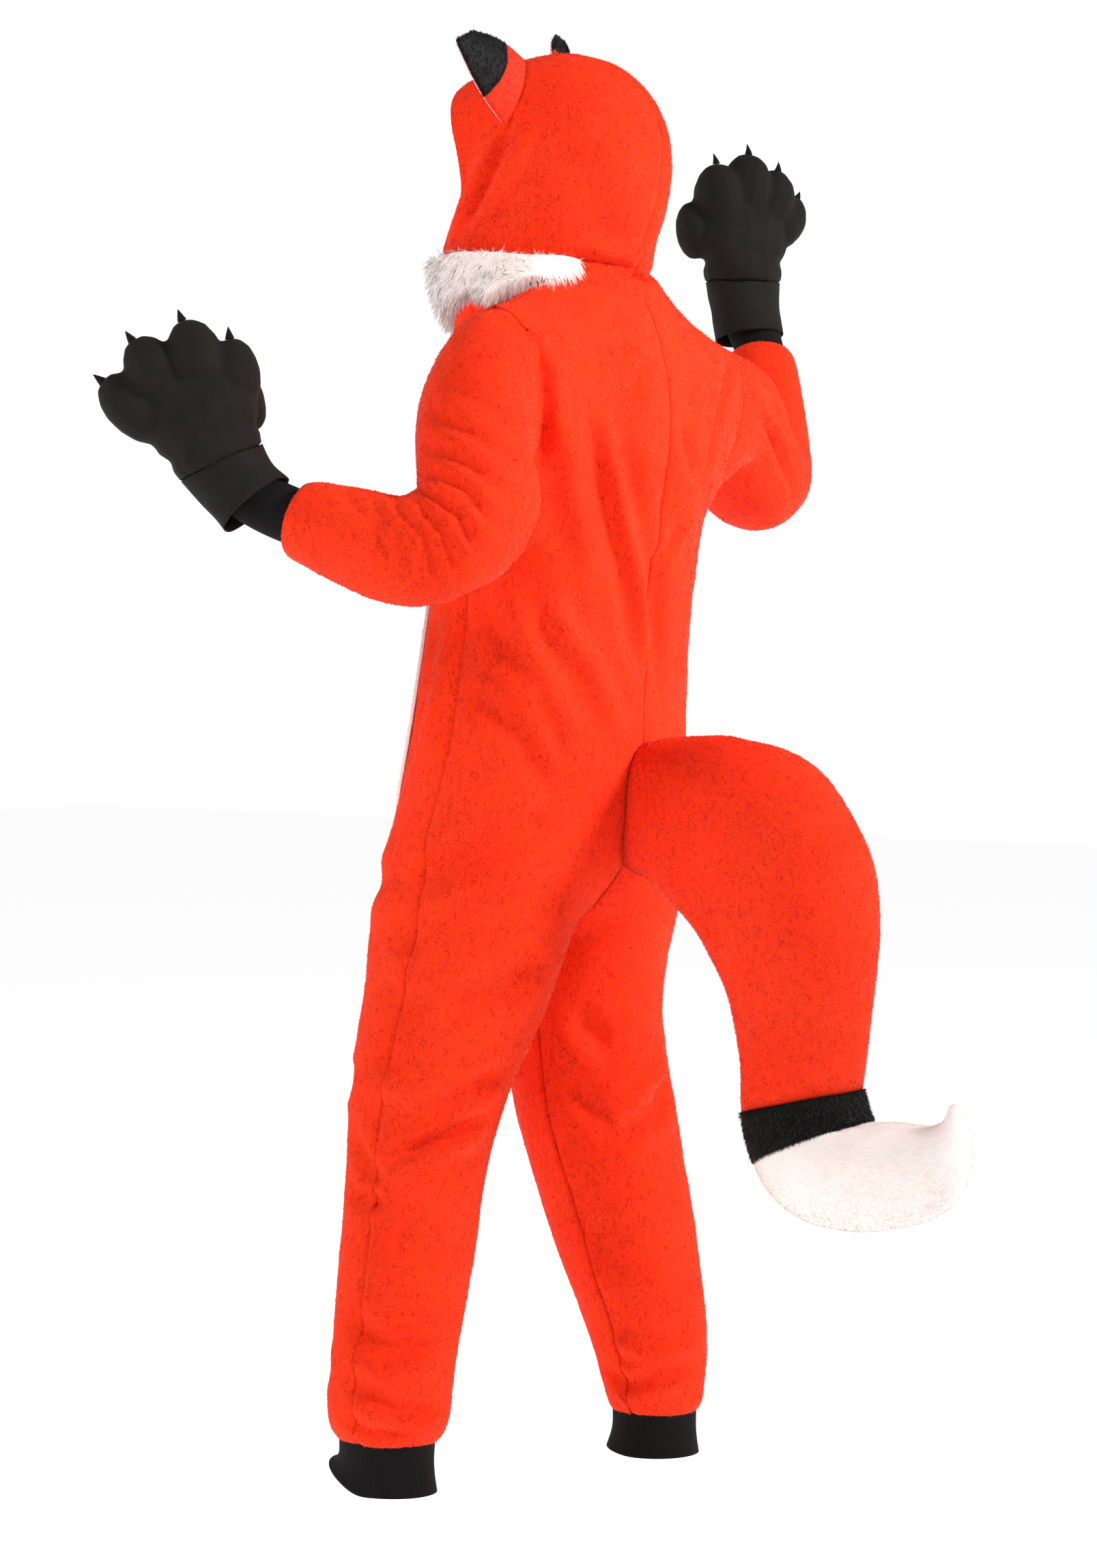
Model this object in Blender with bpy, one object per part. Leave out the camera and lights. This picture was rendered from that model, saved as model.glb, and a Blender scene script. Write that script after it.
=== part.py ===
# Fox costume, worn and empty: plush jumpsuit with hood, ears, fur collar, tail and paw mittens.
# Origin at the middle of the wearer's neck base. +X is the wearer's left, -Y the front, +Z up. Metres.
import math

import bmesh
import bpy
import numpy as np
from mathutils import Vector
from mathutils.bvhtree import BVHTree

MM = 0.001
SEAM_GAP = 0.3 * MM          # clear distance between two pieces at a seam
PLUSH_WALL = 3.0 * MM        # short pile plush with its backing
KNIT_WALL = 2.2 * MM

# The body: rows run from the neck and shoulder seam down to the ankle, columns from the middle to the side
PANEL_COLUMNS = 11
NECK_COLUMNS = 5             # of the 10 spans at the top of a panel, those that lie on the neckline
ARMHOLE_SPANS = 8
SIDES = {"left": 1, "right": -1}

NECK = {"back_y": 58, "front_y": -185, "half_width": 105, "z": 21, "side_rise": 12, "seam_angle": 58.5}

# z, centre x, centre y, half width, front depth, back depth (mm) and turn of the section (degrees)
TRUNK_COLUMNS = ("z", "x", "y", "half_width", "front", "back", "turn")
TRUNK = (
    (-280, 2, -38, 180, 132, 132, -5),
    (-340, 2, -45, 180, 130, 131, -4),
    (-400, 3, -54, 180, 129, 132, -3),
    (-460, 4, -61, 181, 131, 134, -3),
    (-520, 5, -67, 184, 135, 139, -3),
    (-580, 6, -72, 191, 141, 146, -4),
    (-640, 8, -78, 201, 148, 152, -5),
    (-700, 10, -86, 207, 144, 154, -6),
    (-770, 10, -90, 212, 138, 146, -6),
)
CHEST_ROUNDNESS = 2.25       # exponent of the section's superellipse
SHOULDER_TURN = 52           # degrees of the quarter section that is left at the shoulder
YOKE_BULGE = {"back": 34, "front": -4}
YOKE_FADE = 0.62             # share of the yoke over which the shoulder seam's shape fades out

ARMHOLES = {
    "left": {"top": (208, 4, -24), "bottom_z": -332, "half_depth": 84},
    "right": {"top": (-212, 16, -50), "bottom_z": -262, "half_depth": 76},
}
SHOULDER_SAG = -11

# z, centre x, centre y, half width across and front to back (mm); the hem turns in to the ankle cuff
LEG_COLUMNS = ("z", "x", "y", "half_x", "half_y")
LEGS = {
    "left": (
        (-600, 98, -88, 106, 140),
        (-700, 106, -96, 108, 138),
        (-770, 117.5, -102, 109, 129),
        (-830, 135, -106, 106, 117),
        (-880, 153, -112, 101, 107),
        (-975, 183, -119, 86.5, 92),
        (-1070, 207, -117, 79, 83),
        (-1163, 230, -114, 74, 80),
        (-1230, 244, -115, 72, 76),
        (-1280, 252, -115, 71, 75),
        (-1315, 255, -115, 68, 74),
        (-1334, 256, -116, 62, 69),
        (-1342, 256, -117, 53, 61),
    ),
    "right": (
        (-600, -88, -70, 106, 138),
        (-700, -92, -84, 106, 130),
        (-770, -94, -90, 102, 118),
        (-830, -93, -92, 97, 104),
        (-898, -95, -87, 96, 100),
        (-1000, -102, -76, 97, 103),
        (-1100, -115.5, -52.5, 88, 96.5),
        (-1200, -126.5, -34.5, 77.5, 86),
        (-1270, -135.5, -20, 69.5, 75),
        (-1310, -138.5, -16, 64, 67.5),
        (-1335, -140, -14, 61, 64),
        (-1350, -140, -14, 56, 61),
        (-1357, -140, -14, 49, 55),
    ),
}
CROTCH_Z = -768
SEAT_TOP_Z = -590            # above this a section is one trunk, below the crotch it is two legs
TRUNK_LEVELS = (-340, -400, -460, -520, -575, -620, -660, -695, -725, -748, -762, -768)
LEG_LEVELS = {
    "left": (-792, -830, -880, -930, -985, -1040, -1100, -1160, -1215, -1265, -1300, -1325, -1338, -1342),
    "right": (-792, -832, -885, -938, -995, -1050, -1110, -1170, -1225, -1275, -1313, -1338, -1352, -1357),
}

# Large folds of the cloth: the ends of each line, its half width and its depth, negative for a trough (mm)
FOLD_GAIN = 1.35
FOLD_COLUMNS = ("x1", "y1", "z1", "x2", "y2", "z2", "width", "depth")
FOLDS = (
    # across the back, from the shoulder blades to the waist
    (60, 100, -60, 20, 100, -330, 22, 5),
    (-60, 100, -90, -40, 90, -420, 24, 6),
    (10, 100, -150, -10, 90, -380, 18, -5),
    (120, 70, -260, -40, 85, -470, 20, -6),
    (150, 40, -330, 20, 88, -520, 20, 5),
    (-110, 80, -200, -120, 60, -440, 20, -5),
    # down the sides and over the seat
    (185, -60, -330, 190, -80, -560, 22, -5),
    (150, 50, -560, 60, 85, -640, 22, -5),
    (100, -190, -300, 60, -210, -520, 24, 5),
    (-100, -190, -300, -60, -205, -520, 24, 5),
    # behind the knees and over the calves
    (210, 10, -820, 90, -20, -870, 20, 5),
    (250, -60, -905, 100, -60, -945, 16, -7),
    (262, -70, -1000, 120, -70, -1010, 16, -6),
    (270, -60, -1120, 180, -60, -1085, 20, 4),
    (-10, -20, -880, -180, 0, -905, 18, -7),
    (-20, -40, -960, -190, 10, -990, 20, 6),
    (-60, -60, -1090, -190, 20, -1060, 22, -4),
    # bunched above the ankle cuffs
    (330, -110, -1255, 170, -110, -1270, 14, -5),
    (-210, -10, -1275, -60, -20, -1262, 14, -5),
    (320, -150, -1296, 200, -180, -1290, 10, 4),
    (-205, -40, -1318, -80, 30, -1312, 10, 4),
)

# Arms: two lines that meet at a rounded corner, and the radii at the start, elbow, wrist and hem
SLEEVES = {
    "left": {"start": (284, 42, -228), "corner": (345, 97, -345), "end": (403, -122, -271),
             "radii": (75, 65, 51, 46)},
    "right": {"start": (-300, -16, -142), "corner": (-448, -58, -254), "end": (-526, -120, -46),
              "radii": (76, 67, 52, 43)},
}
SLEEVE_CAP_RINGS = 5
SLEEVE_ARM_RINGS = 13
CAP_SLOPE = 0.35             # how far the sleeve head falls as it leaves the armhole
WRIST_RADIUS = 33            # outer radius of the knit cuff
LEAST_BEND = 12              # radius on the inside of the elbow (mm)

# Hood sections fan from the neckline to the face opening: back and front ends in the middle plane, half width
HOOD_COLUMNS = ("back_y", "back_z", "front_y", "front_z", "half_width", "side_rise", "recess")
HOOD = (
    (NECK["back_y"], NECK["z"], NECK["front_y"], NECK["z"], NECK["half_width"], NECK["side_rise"], 0),
    (62, 56, -190, 26, 104, 12, 0),
    (80, 98, -192, 30, 106, 10, 0),
    (88, 140, -193, 33, 109, 10, 0),
    (86, 184, -194, 36, 111, 5, 0),
    (70, 225, -195, 39, 111, 0, 0),
    (38, 261, -195, 42, 108, 0, 0),
    (-10, 284, -196, 45, 103, 0, 6),
    (-62, 288, -199, 47, 98, 0, 16),
    (-114, 279, -203, 50, 93, 0, 29),
    (-168, 256, -208, 54, 90, 0, 42),
)
RECESS_SKEW = 1.1            # the opening's edge is set back more at the cheeks than at the brow
HEAD_TURN = 12               # degrees, to the wearer's left
HEAD_CENTRE = (0, -49, 165)
HOOD_CREASE = {"start": (104, -96, 205), "end": (96, -128, 120), "width": 16, "depth": 7}  # left cheek

ZIP = {"half_width": 4.0, "bottom_z": -725, "wall": 1.6, "recess": 0.9}
SLIDER = {"z": 6, "half_width": 3.7, "height": 11, "plate": 2.0, "lug": 3.4, "lug_wall": 1.1}
PULL = {"barrel_radius": 1.3, "barrel_half": 1.7, "length": 22, "half_width": 3.0, "wall": 1.3}

# The white oval over the belly, one half on each front panel; share is its half width as part of the panel
TUMMY = {"top_z": -170, "widest_z": -540, "bottom_z": -700, "share": 0.47, "wall": 4.0, "lift": 4.4,
         "from_middle": 5.2}
TUMMY_COLUMNS = 6

# Fur collar: angle round the neckline, its width over the cloth, and the height of the pile (mm)
COLLAR_COLUMNS = ("angle", "width", "pile")
COLLAR = {
    "left": ((44, 8, 5), (52, 28, 12), (63, 38, 18), (76, 40, 22), (90, 42, 25), (106, 42, 27), (124, 42, 28),
             (143, 44, 28), (160, 54, 26), (172, 62, 22)),
    "right": ((78, 8, 5), (85, 26, 11), (92, 34, 16), (100, 38, 20), (109, 40, 24), (118, 42, 26),
              (130, 42, 28), (144, 44, 28), (160, 54, 26), (172, 62, 22)),
}
COLLAR_ROWS = 6
COLLAR_LIFT = 6.0            # the fur's backing clears the panels, and comes down to them at the neck seam
COLLAR_SEAM_LIFT = {"left": 4.2, "right": 3.1}

# Tail, stuffed, in the middle plane: y, z, half height across its line, half thickness, direction (degrees)
TAIL_COLUMNS = ("y", "z", "half_height", "half_thick", "direction")
TAIL = (
    (84, -606, 78, 42, 0),
    (114, -610, 92, 56, -8),
    (152, -618, 105, 68, -21),
    (203, -633, 123, 76, -31),
    (239, -658, 128, 79, -39),
    (268, -696, 126, 79, -49),
    (289, -740, 117, 77, -56),
    (299, -801, 104, 71, -64),
    (297, -873, 87, 63, -71),
    (293, -941, 78, 58, -77),
    (308, -987, 80, 58, -68),
    (327, -1006, 87, 60, -57),
    (360, -1019, 88, 58, -43),
    (400, -1023, 76, 52, -29),
    (440, -1018, 63, 45, -14),
    (474, -1009, 53, 37, 6),
    (496, -991, 42, 30, 22),
    (504, -968, 27, 21, 37),
    (503, -948, 16, 13, 53),
    (498, -934, 6, 5, 70),
)
TAIL_SPLITS = (9, 10)        # rows of the table where the black band and the white tip begin
TAIL_AROUND = 18
TAIL_ROOT_RINGS = (0.3, 0.58, 0.8)   # rings of the root's closed end, which lies on the seat
TAIL_LIFT = 3.0
BAND_PROUD = 2.5             # the band's longer pile stands out this much

# Ears in the head's own turned frame: the blunt tip's middle, the angles from straight up where the base
# begins and ends, and the share of the base's slope that the tip's edge keeps
EARS = {
    "left": {"tip": (124, -120, 298)},
    "right": {"tip": (-136, -113, 319)},
}
EAR = {"from_angle": 22, "to_angle": 74, "forward": 30, "cup": 14, "bulge": 12, "edge_bow": 9,
       "tip_half": 21, "tip_slope": 0.25, "tip_split": 0.40, "split_bow": 0.07, "wall": 4.0,
       "pink_wall": 2.4, "clear": 1.5, "seam": 0.8}
EAR_COLUMNS = 7
EAR_ROWS = {"back": 4, "tip": 5, "inner": 6}

# Ankle cuff below its seam: drop, widening across and fore and aft, forward shift, lift at the front (mm)
ANKLE_COLUMNS = ("drop", "wider", "deeper", "forward", "front_lift")
ANKLE_CUFFS = {
    "left": ((-12, 0, 0, 0, 0), (2, 0, 0, 0, 0), (22, -1, -2, 1, 4), (42, -1, 2, 6, 16), (60, 2, 7, 10, 32)),
    "right": ((-12, 0, 0, 0, 0), (2, 0, 0, 0, 0), (20, 0, -1, 0, 0), (36, 2, 1, 2, 3), (52, 6, 4, 4, 6)),
}
ANKLE_CLEAR = 0.5            # between the knit cuff and the edge of the leg's turned-in hem

# Mittens in their own frame: x to the thumb, y to the back of the hand, z from the wrist to the fingers (mm)
# Each lobe: name, middle x, y, z, half sizes along x, y, z, and lean (degrees)
PALM_LOBES = (
    ("palm", 2, 2, 60, 68, 40, 60, 0),
    ("heel", 0, 0, 14, 55, 45, 44, 0),
)
FINGER_LOBES = {
    "left": (
        ("little", -60, -2, 95, 34, 36, 52, -28),
        ("ring", -24, 4, 123, 33, 36, 46, -12),
        ("middle", 25, 4, 119, 32, 36, 46, 3),
        ("index", 56, -4, 84, 29, 33, 42, 16),
    ),
    "right": (
        ("little", -60, -2, 80, 31, 34, 42, -38),
        ("ring", -38, 4, 104, 33, 36, 46, -18),
        ("middle", -3, 4, 121, 34, 37, 47, -4),
        ("index", 36, 0, 106, 34, 37, 48, 6),
    ),
}
POCKET = {"half_x": 44, "half_y": 26, "half_z": 76, "z": 36}
CLAW = {"length": 15, "radius": 5.6, "curl": 6, "around": 6, "rings": 4, "clear": 0.5}
MITTENS = {
    "left": {"seam": (440, -207, -207), "hem": (428.3, -166.4, -254.4), "up": (0.25, -0.34, 0.91),
             "back": (0.80, 0.60, 0.0), "thumb": (54, -30, 56, 22, 26, 38, 8),
             "band": ((52, 42), (48, 41), (46, 41), (48, 42))},
    "right": {"seam": (-536, -154, 51), "hem": (-528, -137.6, -22), "up": (0.0, 0.0, 1.0),
              "back": (0.40, 0.92, 0.0), "thumb": (68, -14, 66, 22, 25, 38, 8),
              "band": ((53, 42), (48, 42), (47, 43), (47, 44))},
}

COLOURS = {
    "orange": (0.80, 0.045, 0.006),
    "white": (0.83, 0.76, 0.72),
    "black": (0.008, 0.008, 0.008),
    "knit": (0.010, 0.009, 0.009),
    "pink": (0.82, 0.42, 0.47),
    "metal": (0.55, 0.55, 0.56),
}


def clear_scene():
    for item in list(bpy.data.objects):
        bpy.data.objects.remove(item)


def material(name, roughness=0.9, metallic=0.0):
    found = bpy.data.materials.get(name)
    if found:
        return found
    made = bpy.data.materials.new(name)
    made.use_nodes = True
    shader = made.node_tree.nodes["Principled BSDF"]
    shader.inputs["Base Color"].default_value = (*COLOURS[name], 1)
    shader.inputs["Roughness"].default_value = roughness
    shader.inputs["Metallic"].default_value = metallic
    return made


def add_mesh(name, points, faces, colour, smooth=True, roughness=0.9, metallic=0.0):
    mesh = bpy.data.meshes.new(name)
    mesh.from_pydata([tuple(map(float, p)) for p in points], [], faces)
    edit = bmesh.new()
    edit.from_mesh(mesh)
    bmesh.ops.recalc_face_normals(edit, faces=edit.faces)
    edit.to_mesh(mesh)
    edit.free()
    if smooth:
        mesh.shade_smooth()
        mesh.set_sharp_from_angle(angle=math.radians(50))
    mesh.materials.append(material(colour, roughness, metallic))
    made = bpy.data.objects.new(name, mesh)
    bpy.context.scene.collection.objects.link(made)
    return made


def table_at(rows, columns, key, value):
    """The named columns of a table at a value of one of them, through a smooth curve."""
    keys = np.array([row[columns.index(key)] for row in rows], float)
    order = np.argsort(keys)
    keys = keys[order]
    data = np.array([row for row in rows], float)[order]
    slopes = np.gradient(data, keys, axis=0)
    value = min(max(value, keys[0]), keys[-1])
    i = min(int(np.searchsorted(keys, value, side="right")) - 1, len(keys) - 2)
    span = keys[i + 1] - keys[i]
    t = (value - keys[i]) / span
    found = hermite(data[i], data[i + 1], slopes[i] * span, slopes[i + 1] * span, t)
    return dict(zip(columns, found))


def rows_at(rows, columns, position):
    """The same, at a row number that may lie between two rows."""
    numbered = tuple((i, *row) for i, row in enumerate(rows))
    found = table_at(numbered, ("row", *columns), "row", position)
    del found["row"]
    return found


def hermite(a, b, slope_a, slope_b, t):
    return ((2 * t**3 - 3 * t**2 + 1) * a + (t**3 - 2 * t**2 + t) * slope_a
            + (3 * t**2 - 2 * t**3) * b + (t**3 - t**2) * slope_b)


def lerp(a, b, t):
    return a + (b - a) * t


def unit(v):
    v = np.asarray(v, float)
    return v / np.maximum(np.linalg.norm(v, axis=-1, keepdims=True), 1e-12)


def power(value, exponent):
    return math.copysign(abs(value) ** exponent, value)


def neckline(angle):
    """A point of the neck seam, from straight behind (0) round the wearer's left to the front (180)."""
    a = math.radians(angle)
    middle = (NECK["back_y"] + NECK["front_y"]) / 2
    reach = (NECK["back_y"] - NECK["front_y"]) / 2
    return np.array([NECK["half_width"] * math.sin(a), middle + reach * math.cos(a),
                     NECK["z"] + NECK["side_rise"] * math.sin(a) ** 2])


def trunk_point(side, face, share, z):
    """A point of the trunk's section: share 0 is the middle of the front or back, 1 the side seam."""
    at = table_at(TRUNK, TRUNK_COLUMNS, "z", z)
    angle = share * math.pi / 2
    bend = 2 / CHEST_ROUNDNESS
    x = side * at["half_width"] * power(math.sin(angle), bend)
    y = (at["back"] if face == "back" else -at["front"]) * power(math.cos(angle), bend)
    turn = math.radians(at["turn"]) * math.sin(angle)
    return np.array([at["x"] + x * math.cos(turn) - y * math.sin(turn),
                     at["y"] + x * math.sin(turn) + y * math.cos(turn), z])


def leg_point(side_name, face, share, z):
    at = table_at(LEGS[side_name], LEG_COLUMNS, "z", z)
    angle = share * math.pi
    side = SIDES[side_name]
    y = at["half_y"] * math.sin(angle) * (1 if face == "back" else -1)
    return np.array([at["x"] - side * at["half_x"] * math.cos(angle), at["y"] + y, z])


def armhole_point(side_name, face, share):
    """A point of the armhole seam: share 0 is the shoulder tip, 1 the underarm."""
    hole = ARMHOLES[side_name]
    top = np.array(hole["top"], float)
    bottom = trunk_point(SIDES[side_name], face, 1, hole["bottom_z"])
    angle = math.pi * share
    point = lerp(top, bottom, (1 - math.cos(angle)) / 2)
    out = hole["half_depth"] * math.sin(angle) ** 0.85
    point[1] += out if face == "back" else -out
    return point


def yoke_section(side_name, face, share, drop):
    """A point of the yoke's plain curve from the middle of the chest or back out to the armhole."""
    end = armhole_point(side_name, face, drop)
    turn = math.radians(lerp(SHOULDER_TURN, 90, drop**1.5))
    bend = 2 / CHEST_ROUNDNESS
    angle = share * turn
    across = power(math.sin(angle), bend) / power(math.sin(turn), bend)
    along = (power(math.cos(angle), bend) - power(math.cos(turn), bend)) / (1 - power(math.cos(turn), bend))
    top = neckline(0 if face == "back" else 180)
    middle = lerp(top, trunk_point(SIDES[side_name], face, 0, TRUNK[0][0]), drop)
    middle[1] += YOKE_BULGE[face] * math.sin(math.pi * drop)
    return np.array([middle[0] + (end[0] - middle[0]) * across,
                     end[1] + (middle[1] - end[1]) * along,
                     lerp(middle[2], end[2], share**1.3)])


def chest_point(side_name, face, share, drop):
    """A point of the yoke: drop 0 is the neckline and shoulder seam, 1 the underarm level."""
    point = yoke_section(side_name, face, share, drop)
    fade = max(0.0, 1 - drop / YOKE_FADE) ** 2
    if fade:
        point += (seam_top(side_name, face, share) - yoke_section(side_name, face, share, 0)) * fade
    return point


def seam_top(side_name, face, share):
    """The top edge of a panel: along the neckline, then along the shoulder seam to its tip."""
    neck_share = NECK_COLUMNS / (PANEL_COLUMNS - 1)
    start = 0 if face == "back" else 180
    side = SIDES[side_name]
    if share <= neck_share:
        point = neckline(lerp(start, NECK["seam_angle"], share / neck_share))
        return point * np.array([side, 1, 1])
    corner = neckline(NECK["seam_angle"]) * np.array([side, 1, 1])
    tip = np.array(ARMHOLES[side_name]["top"], float)
    along = (share - neck_share) / (1 - neck_share)
    point = lerp(corner, tip, along)
    point[2] += SHOULDER_SAG * math.sin(math.pi * along)
    return point


def body_point(side_name, face, share, z):
    """Below the underarm: the trunk, the seat where it parts, and the leg."""
    if z >= SEAT_TOP_Z:
        return trunk_point(SIDES[side_name], face, share, z)
    leg = leg_point(side_name, face, share, z)
    if z <= CROTCH_Z:
        return leg
    trunk = trunk_point(SIDES[side_name], face, share, z)
    depth = (SEAT_TOP_Z - z) / (SEAT_TOP_Z - CROTCH_Z)
    blend = 1 - math.sqrt(max(0.0, 1 - depth**2))
    side_blend = depth**2 * (3 - 2 * depth)
    return lerp(trunk, leg, lerp(blend, side_blend, share))


def keep_to_own_side(point, side):
    """The two halves meet in the middle above the crotch, and the legs part below it."""
    middle = crotch_x(point[2])
    if (point[0] - middle) * side < 0 and point[2] > CROTCH_Z - 60:
        point[0] = middle
    return point


def crotch_x(z):
    return table_at(TRUNK, TRUNK_COLUMNS, "z", max(z, TRUNK[-1][0]))["x"] if z < TRUNK[0][0] else (
        TRUNK[0][1] * max(0.0, min(1.0, (NECK["z"] - z) / (NECK["z"] - TRUNK[0][0]))))


def panel_grid(side_name, face):
    """Outer points of a body panel, in mm, row by row from the top."""
    shares = np.linspace(0, 1, PANEL_COLUMNS)
    rows = []
    for i in range(ARMHOLE_SPANS + 1):
        drop = i / ARMHOLE_SPANS
        if i == 0:
            rows.append([seam_top(side_name, face, s) for s in shares])
        else:
            rows.append([chest_point(side_name, face, s, drop) for s in shares])
    low = ARMHOLES[side_name]["bottom_z"] - TRUNK[0][0]
    for level in TRUNK_LEVELS + LEG_LEVELS[side_name]:
        slant = low * min(1.0, max(0.0, (level + 560) / (560 + TRUNK[0][0])))
        heights = [level + slant * s**1.3 for s in shares]
        rows.append([keep_to_own_side(body_point(side_name, face, s, z), SIDES[side_name])
                     for s, z in zip(shares, heights)])
    grid = np.array(rows)
    last_trunk = ARMHOLE_SPANS + len(TRUNK_LEVELS)
    for i in range(last_trunk + 1):
        z = grid[i, 0, 2]
        grid[i, 0, 0] = crotch_x(z)
    crotch = np.array([crotch_x(CROTCH_Z), -88.0, CROTCH_Z])
    grid[last_trunk, 0] = crotch
    return grid


def fold_depth(points):
    """How far the large folds move each point along its normal, in mm."""
    moved = np.zeros(points.shape[:-1])
    for row in FOLDS:
        fold = dict(zip(FOLD_COLUMNS, row))
        a = np.array([fold["x1"], fold["y1"], fold["z1"]], float)
        b = np.array([fold["x2"], fold["y2"], fold["z2"]], float)
        line = b - a
        t = np.clip(((points - a) @ line) / (line @ line), 0, 1)
        away = np.linalg.norm(points - (a + t[..., None] * line), axis=-1)
        fade = np.sin(np.pi * (0.12 + 0.76 * t))
        moved += FOLD_GAIN * fold["depth"] * fade * np.exp(-((away / fold["width"]) ** 2))
    return moved


def arm_line(start, corner, end, bend, count):
    """Centres and directions at even steps along two lines joined by an arc."""
    start, corner, end = (np.array(p, float) for p in (start, corner, end))
    into, out = unit(corner - start), unit(end - corner)
    turn = math.acos(float(np.dot(into, out)))
    cut = bend * math.tan(turn / 2)
    first, arc = np.linalg.norm(corner - start) - cut, bend * turn
    last = np.linalg.norm(end - corner) - cut
    pivot = corner - into * cut + unit(out - into * np.dot(into, out)) * bend
    spoke = corner - into * cut - pivot
    centres, directions = [], []
    for way in np.linspace(0, first + arc + last, count):
        if way <= first:
            centres.append(start + into * way)
            directions.append(into)
        elif way >= first + arc:
            centres.append(end - out * (first + arc + last - way))
            directions.append(out)
        else:
            angle = (way - first) / bend
            centres.append(pivot + spoke * math.cos(angle) + into * bend * math.sin(angle))
            directions.append(into * math.cos(angle) - unit(spoke) * math.sin(angle))
    return np.array(centres), np.array(directions)


def turned(vector, from_direction, to_direction):
    """A vector carried along from one direction to the next without twist."""
    axis = np.cross(from_direction, to_direction)
    size = np.linalg.norm(axis)
    if size < 1e-9:
        return vector
    axis /= size
    angle = math.atan2(size, float(np.dot(from_direction, to_direction)))
    return (vector * math.cos(angle) + np.cross(axis, vector) * math.sin(angle)
            + axis * np.dot(axis, vector) * (1 - math.cos(angle)))


def armhole_loop(side_name):
    """Armhole points in order: top, down the back, underarm, up the front."""
    back = [armhole_point(side_name, "back", i / ARMHOLE_SPANS) for i in range(ARMHOLE_SPANS + 1)]
    front = [armhole_point(side_name, "front", i / ARMHOLE_SPANS) for i in range(ARMHOLE_SPANS - 1, 0, -1)]
    return np.array(back + front)


def arm_rings(side_name):
    """Rings round the arm's centre line, from the middle of the upper arm to the hem."""
    arm = SLEEVES[side_name]
    radii = arm["radii"]
    centres, directions = arm_line(arm["start"], arm["corner"], arm["end"], radii[1] + LEAST_BEND,
                                   SLEEVE_ARM_RINGS)
    side = SIDES[side_name]
    top = np.array([side * 1.0, 0.0, 0.6])
    top = unit(top - np.dot(top, directions[0]) * directions[0])
    leaving = unit(np.array([side * 1.0, 0.0, -CAP_SLOPE]))
    rings = []
    for i, way in enumerate(np.linspace(0, 1, SLEEVE_ARM_RINGS)):
        if i:
            top = turned(top, directions[i - 1], directions[i])
        facing = unit(lerp(directions[i], leaving, max(0.0, 0.5 - way * 4)))
        top_here = unit(top - np.dot(top, facing) * facing)
        back = np.cross(top_here, facing) * side
        radius = np.interp(way, (0, 0.5, 0.9, 1), radii)
        angles = [2 * math.pi * j / (2 * ARMHOLE_SPANS) for j in range(2 * ARMHOLE_SPANS)]
        rings.append([centres[i] + (top_here * math.cos(t) + back * math.sin(t)) * radius for t in angles])
    return np.array(rings), directions


def sleeve_grid(side_name):
    """Rows from the armhole seam down the arm, with columns round it, and the way the sleeve's end points."""
    loop = armhole_loop(side_name)
    rings, directions = arm_rings(side_name)
    side = SIDES[side_name]
    leaving = np.array([side * 1.0, 0.0, -CAP_SLOPE])
    rows = [loop]
    for i in range(1, SLEEVE_CAP_RINGS):
        t = i / SLEEVE_CAP_RINGS
        ring = []
        for j, start in enumerate(loop):
            way = rings[0][j] - start
            leave = unit(leaving) * max(float(np.dot(way, unit(leaving))), 0.15 * np.linalg.norm(way))
            arrive = directions[0] * max(float(np.dot(way, directions[0])), 0.0)
            ring.append(hermite(start, rings[0][j], leave, arrive, t))
        rows.append(np.array(ring))
    rows.extend(rings)
    end = rings[-1]
    middle = end.mean(axis=0)
    out = directions[-1]
    share = (WRIST_RADIUS + 0.3) / np.linalg.norm(end - middle, axis=1).mean()
    rows.append(middle + (end - middle) * lerp(1, share, 0.4) + out * 2.5)
    rows.append(middle + (end - middle) * share + out * 1.5)
    return np.array(rows), out


def hood_ring(position):
    """One section of the hood, from the middle of the back (0) to the middle of the front (180)."""
    at = rows_at(HOOD, HOOD_COLUMNS, position)
    back = np.array([0, at["back_y"], at["back_z"]])
    front = np.array([0, at["front_y"], at["front_z"]])
    middle, reach = (back + front) / 2, (back - front) / 2
    turn = math.radians(HEAD_TURN) * min(1.0, position / 6)
    angles = neck_angles()
    points = []
    for angle in angles:
        a = math.radians(angle)
        p = middle + reach * math.cos(a)
        recess = at["recess"] * math.sin(a) ** 2 * (1 - RECESS_SKEW * math.cos(a))
        p = p + np.array([at["half_width"] * math.sin(a), recess, at["side_rise"] * math.sin(a) ** 2])
        points.append(p)
    points = np.array(points)
    return turned_about(points, turn), turn


def neck_angles():
    """Angles of the neckline's points, those of the back panel and then those of the front one."""
    back = np.linspace(0, NECK["seam_angle"], NECK_COLUMNS + 1)
    front = np.linspace(NECK["seam_angle"], 180, NECK_COLUMNS + 1)
    return list(back) + list(front[1:])


def turned_about(points, turn):
    """Turns points about the upright axis through the middle of the head."""
    c, s = math.cos(turn), math.sin(turn)
    x, y = points[:, 0] - HEAD_CENTRE[0], points[:, 1] - HEAD_CENTRE[1]
    return np.stack([HEAD_CENTRE[0] + x * c - y * s, HEAD_CENTRE[1] + x * s + y * c, points[:, 2]], 1)


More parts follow.
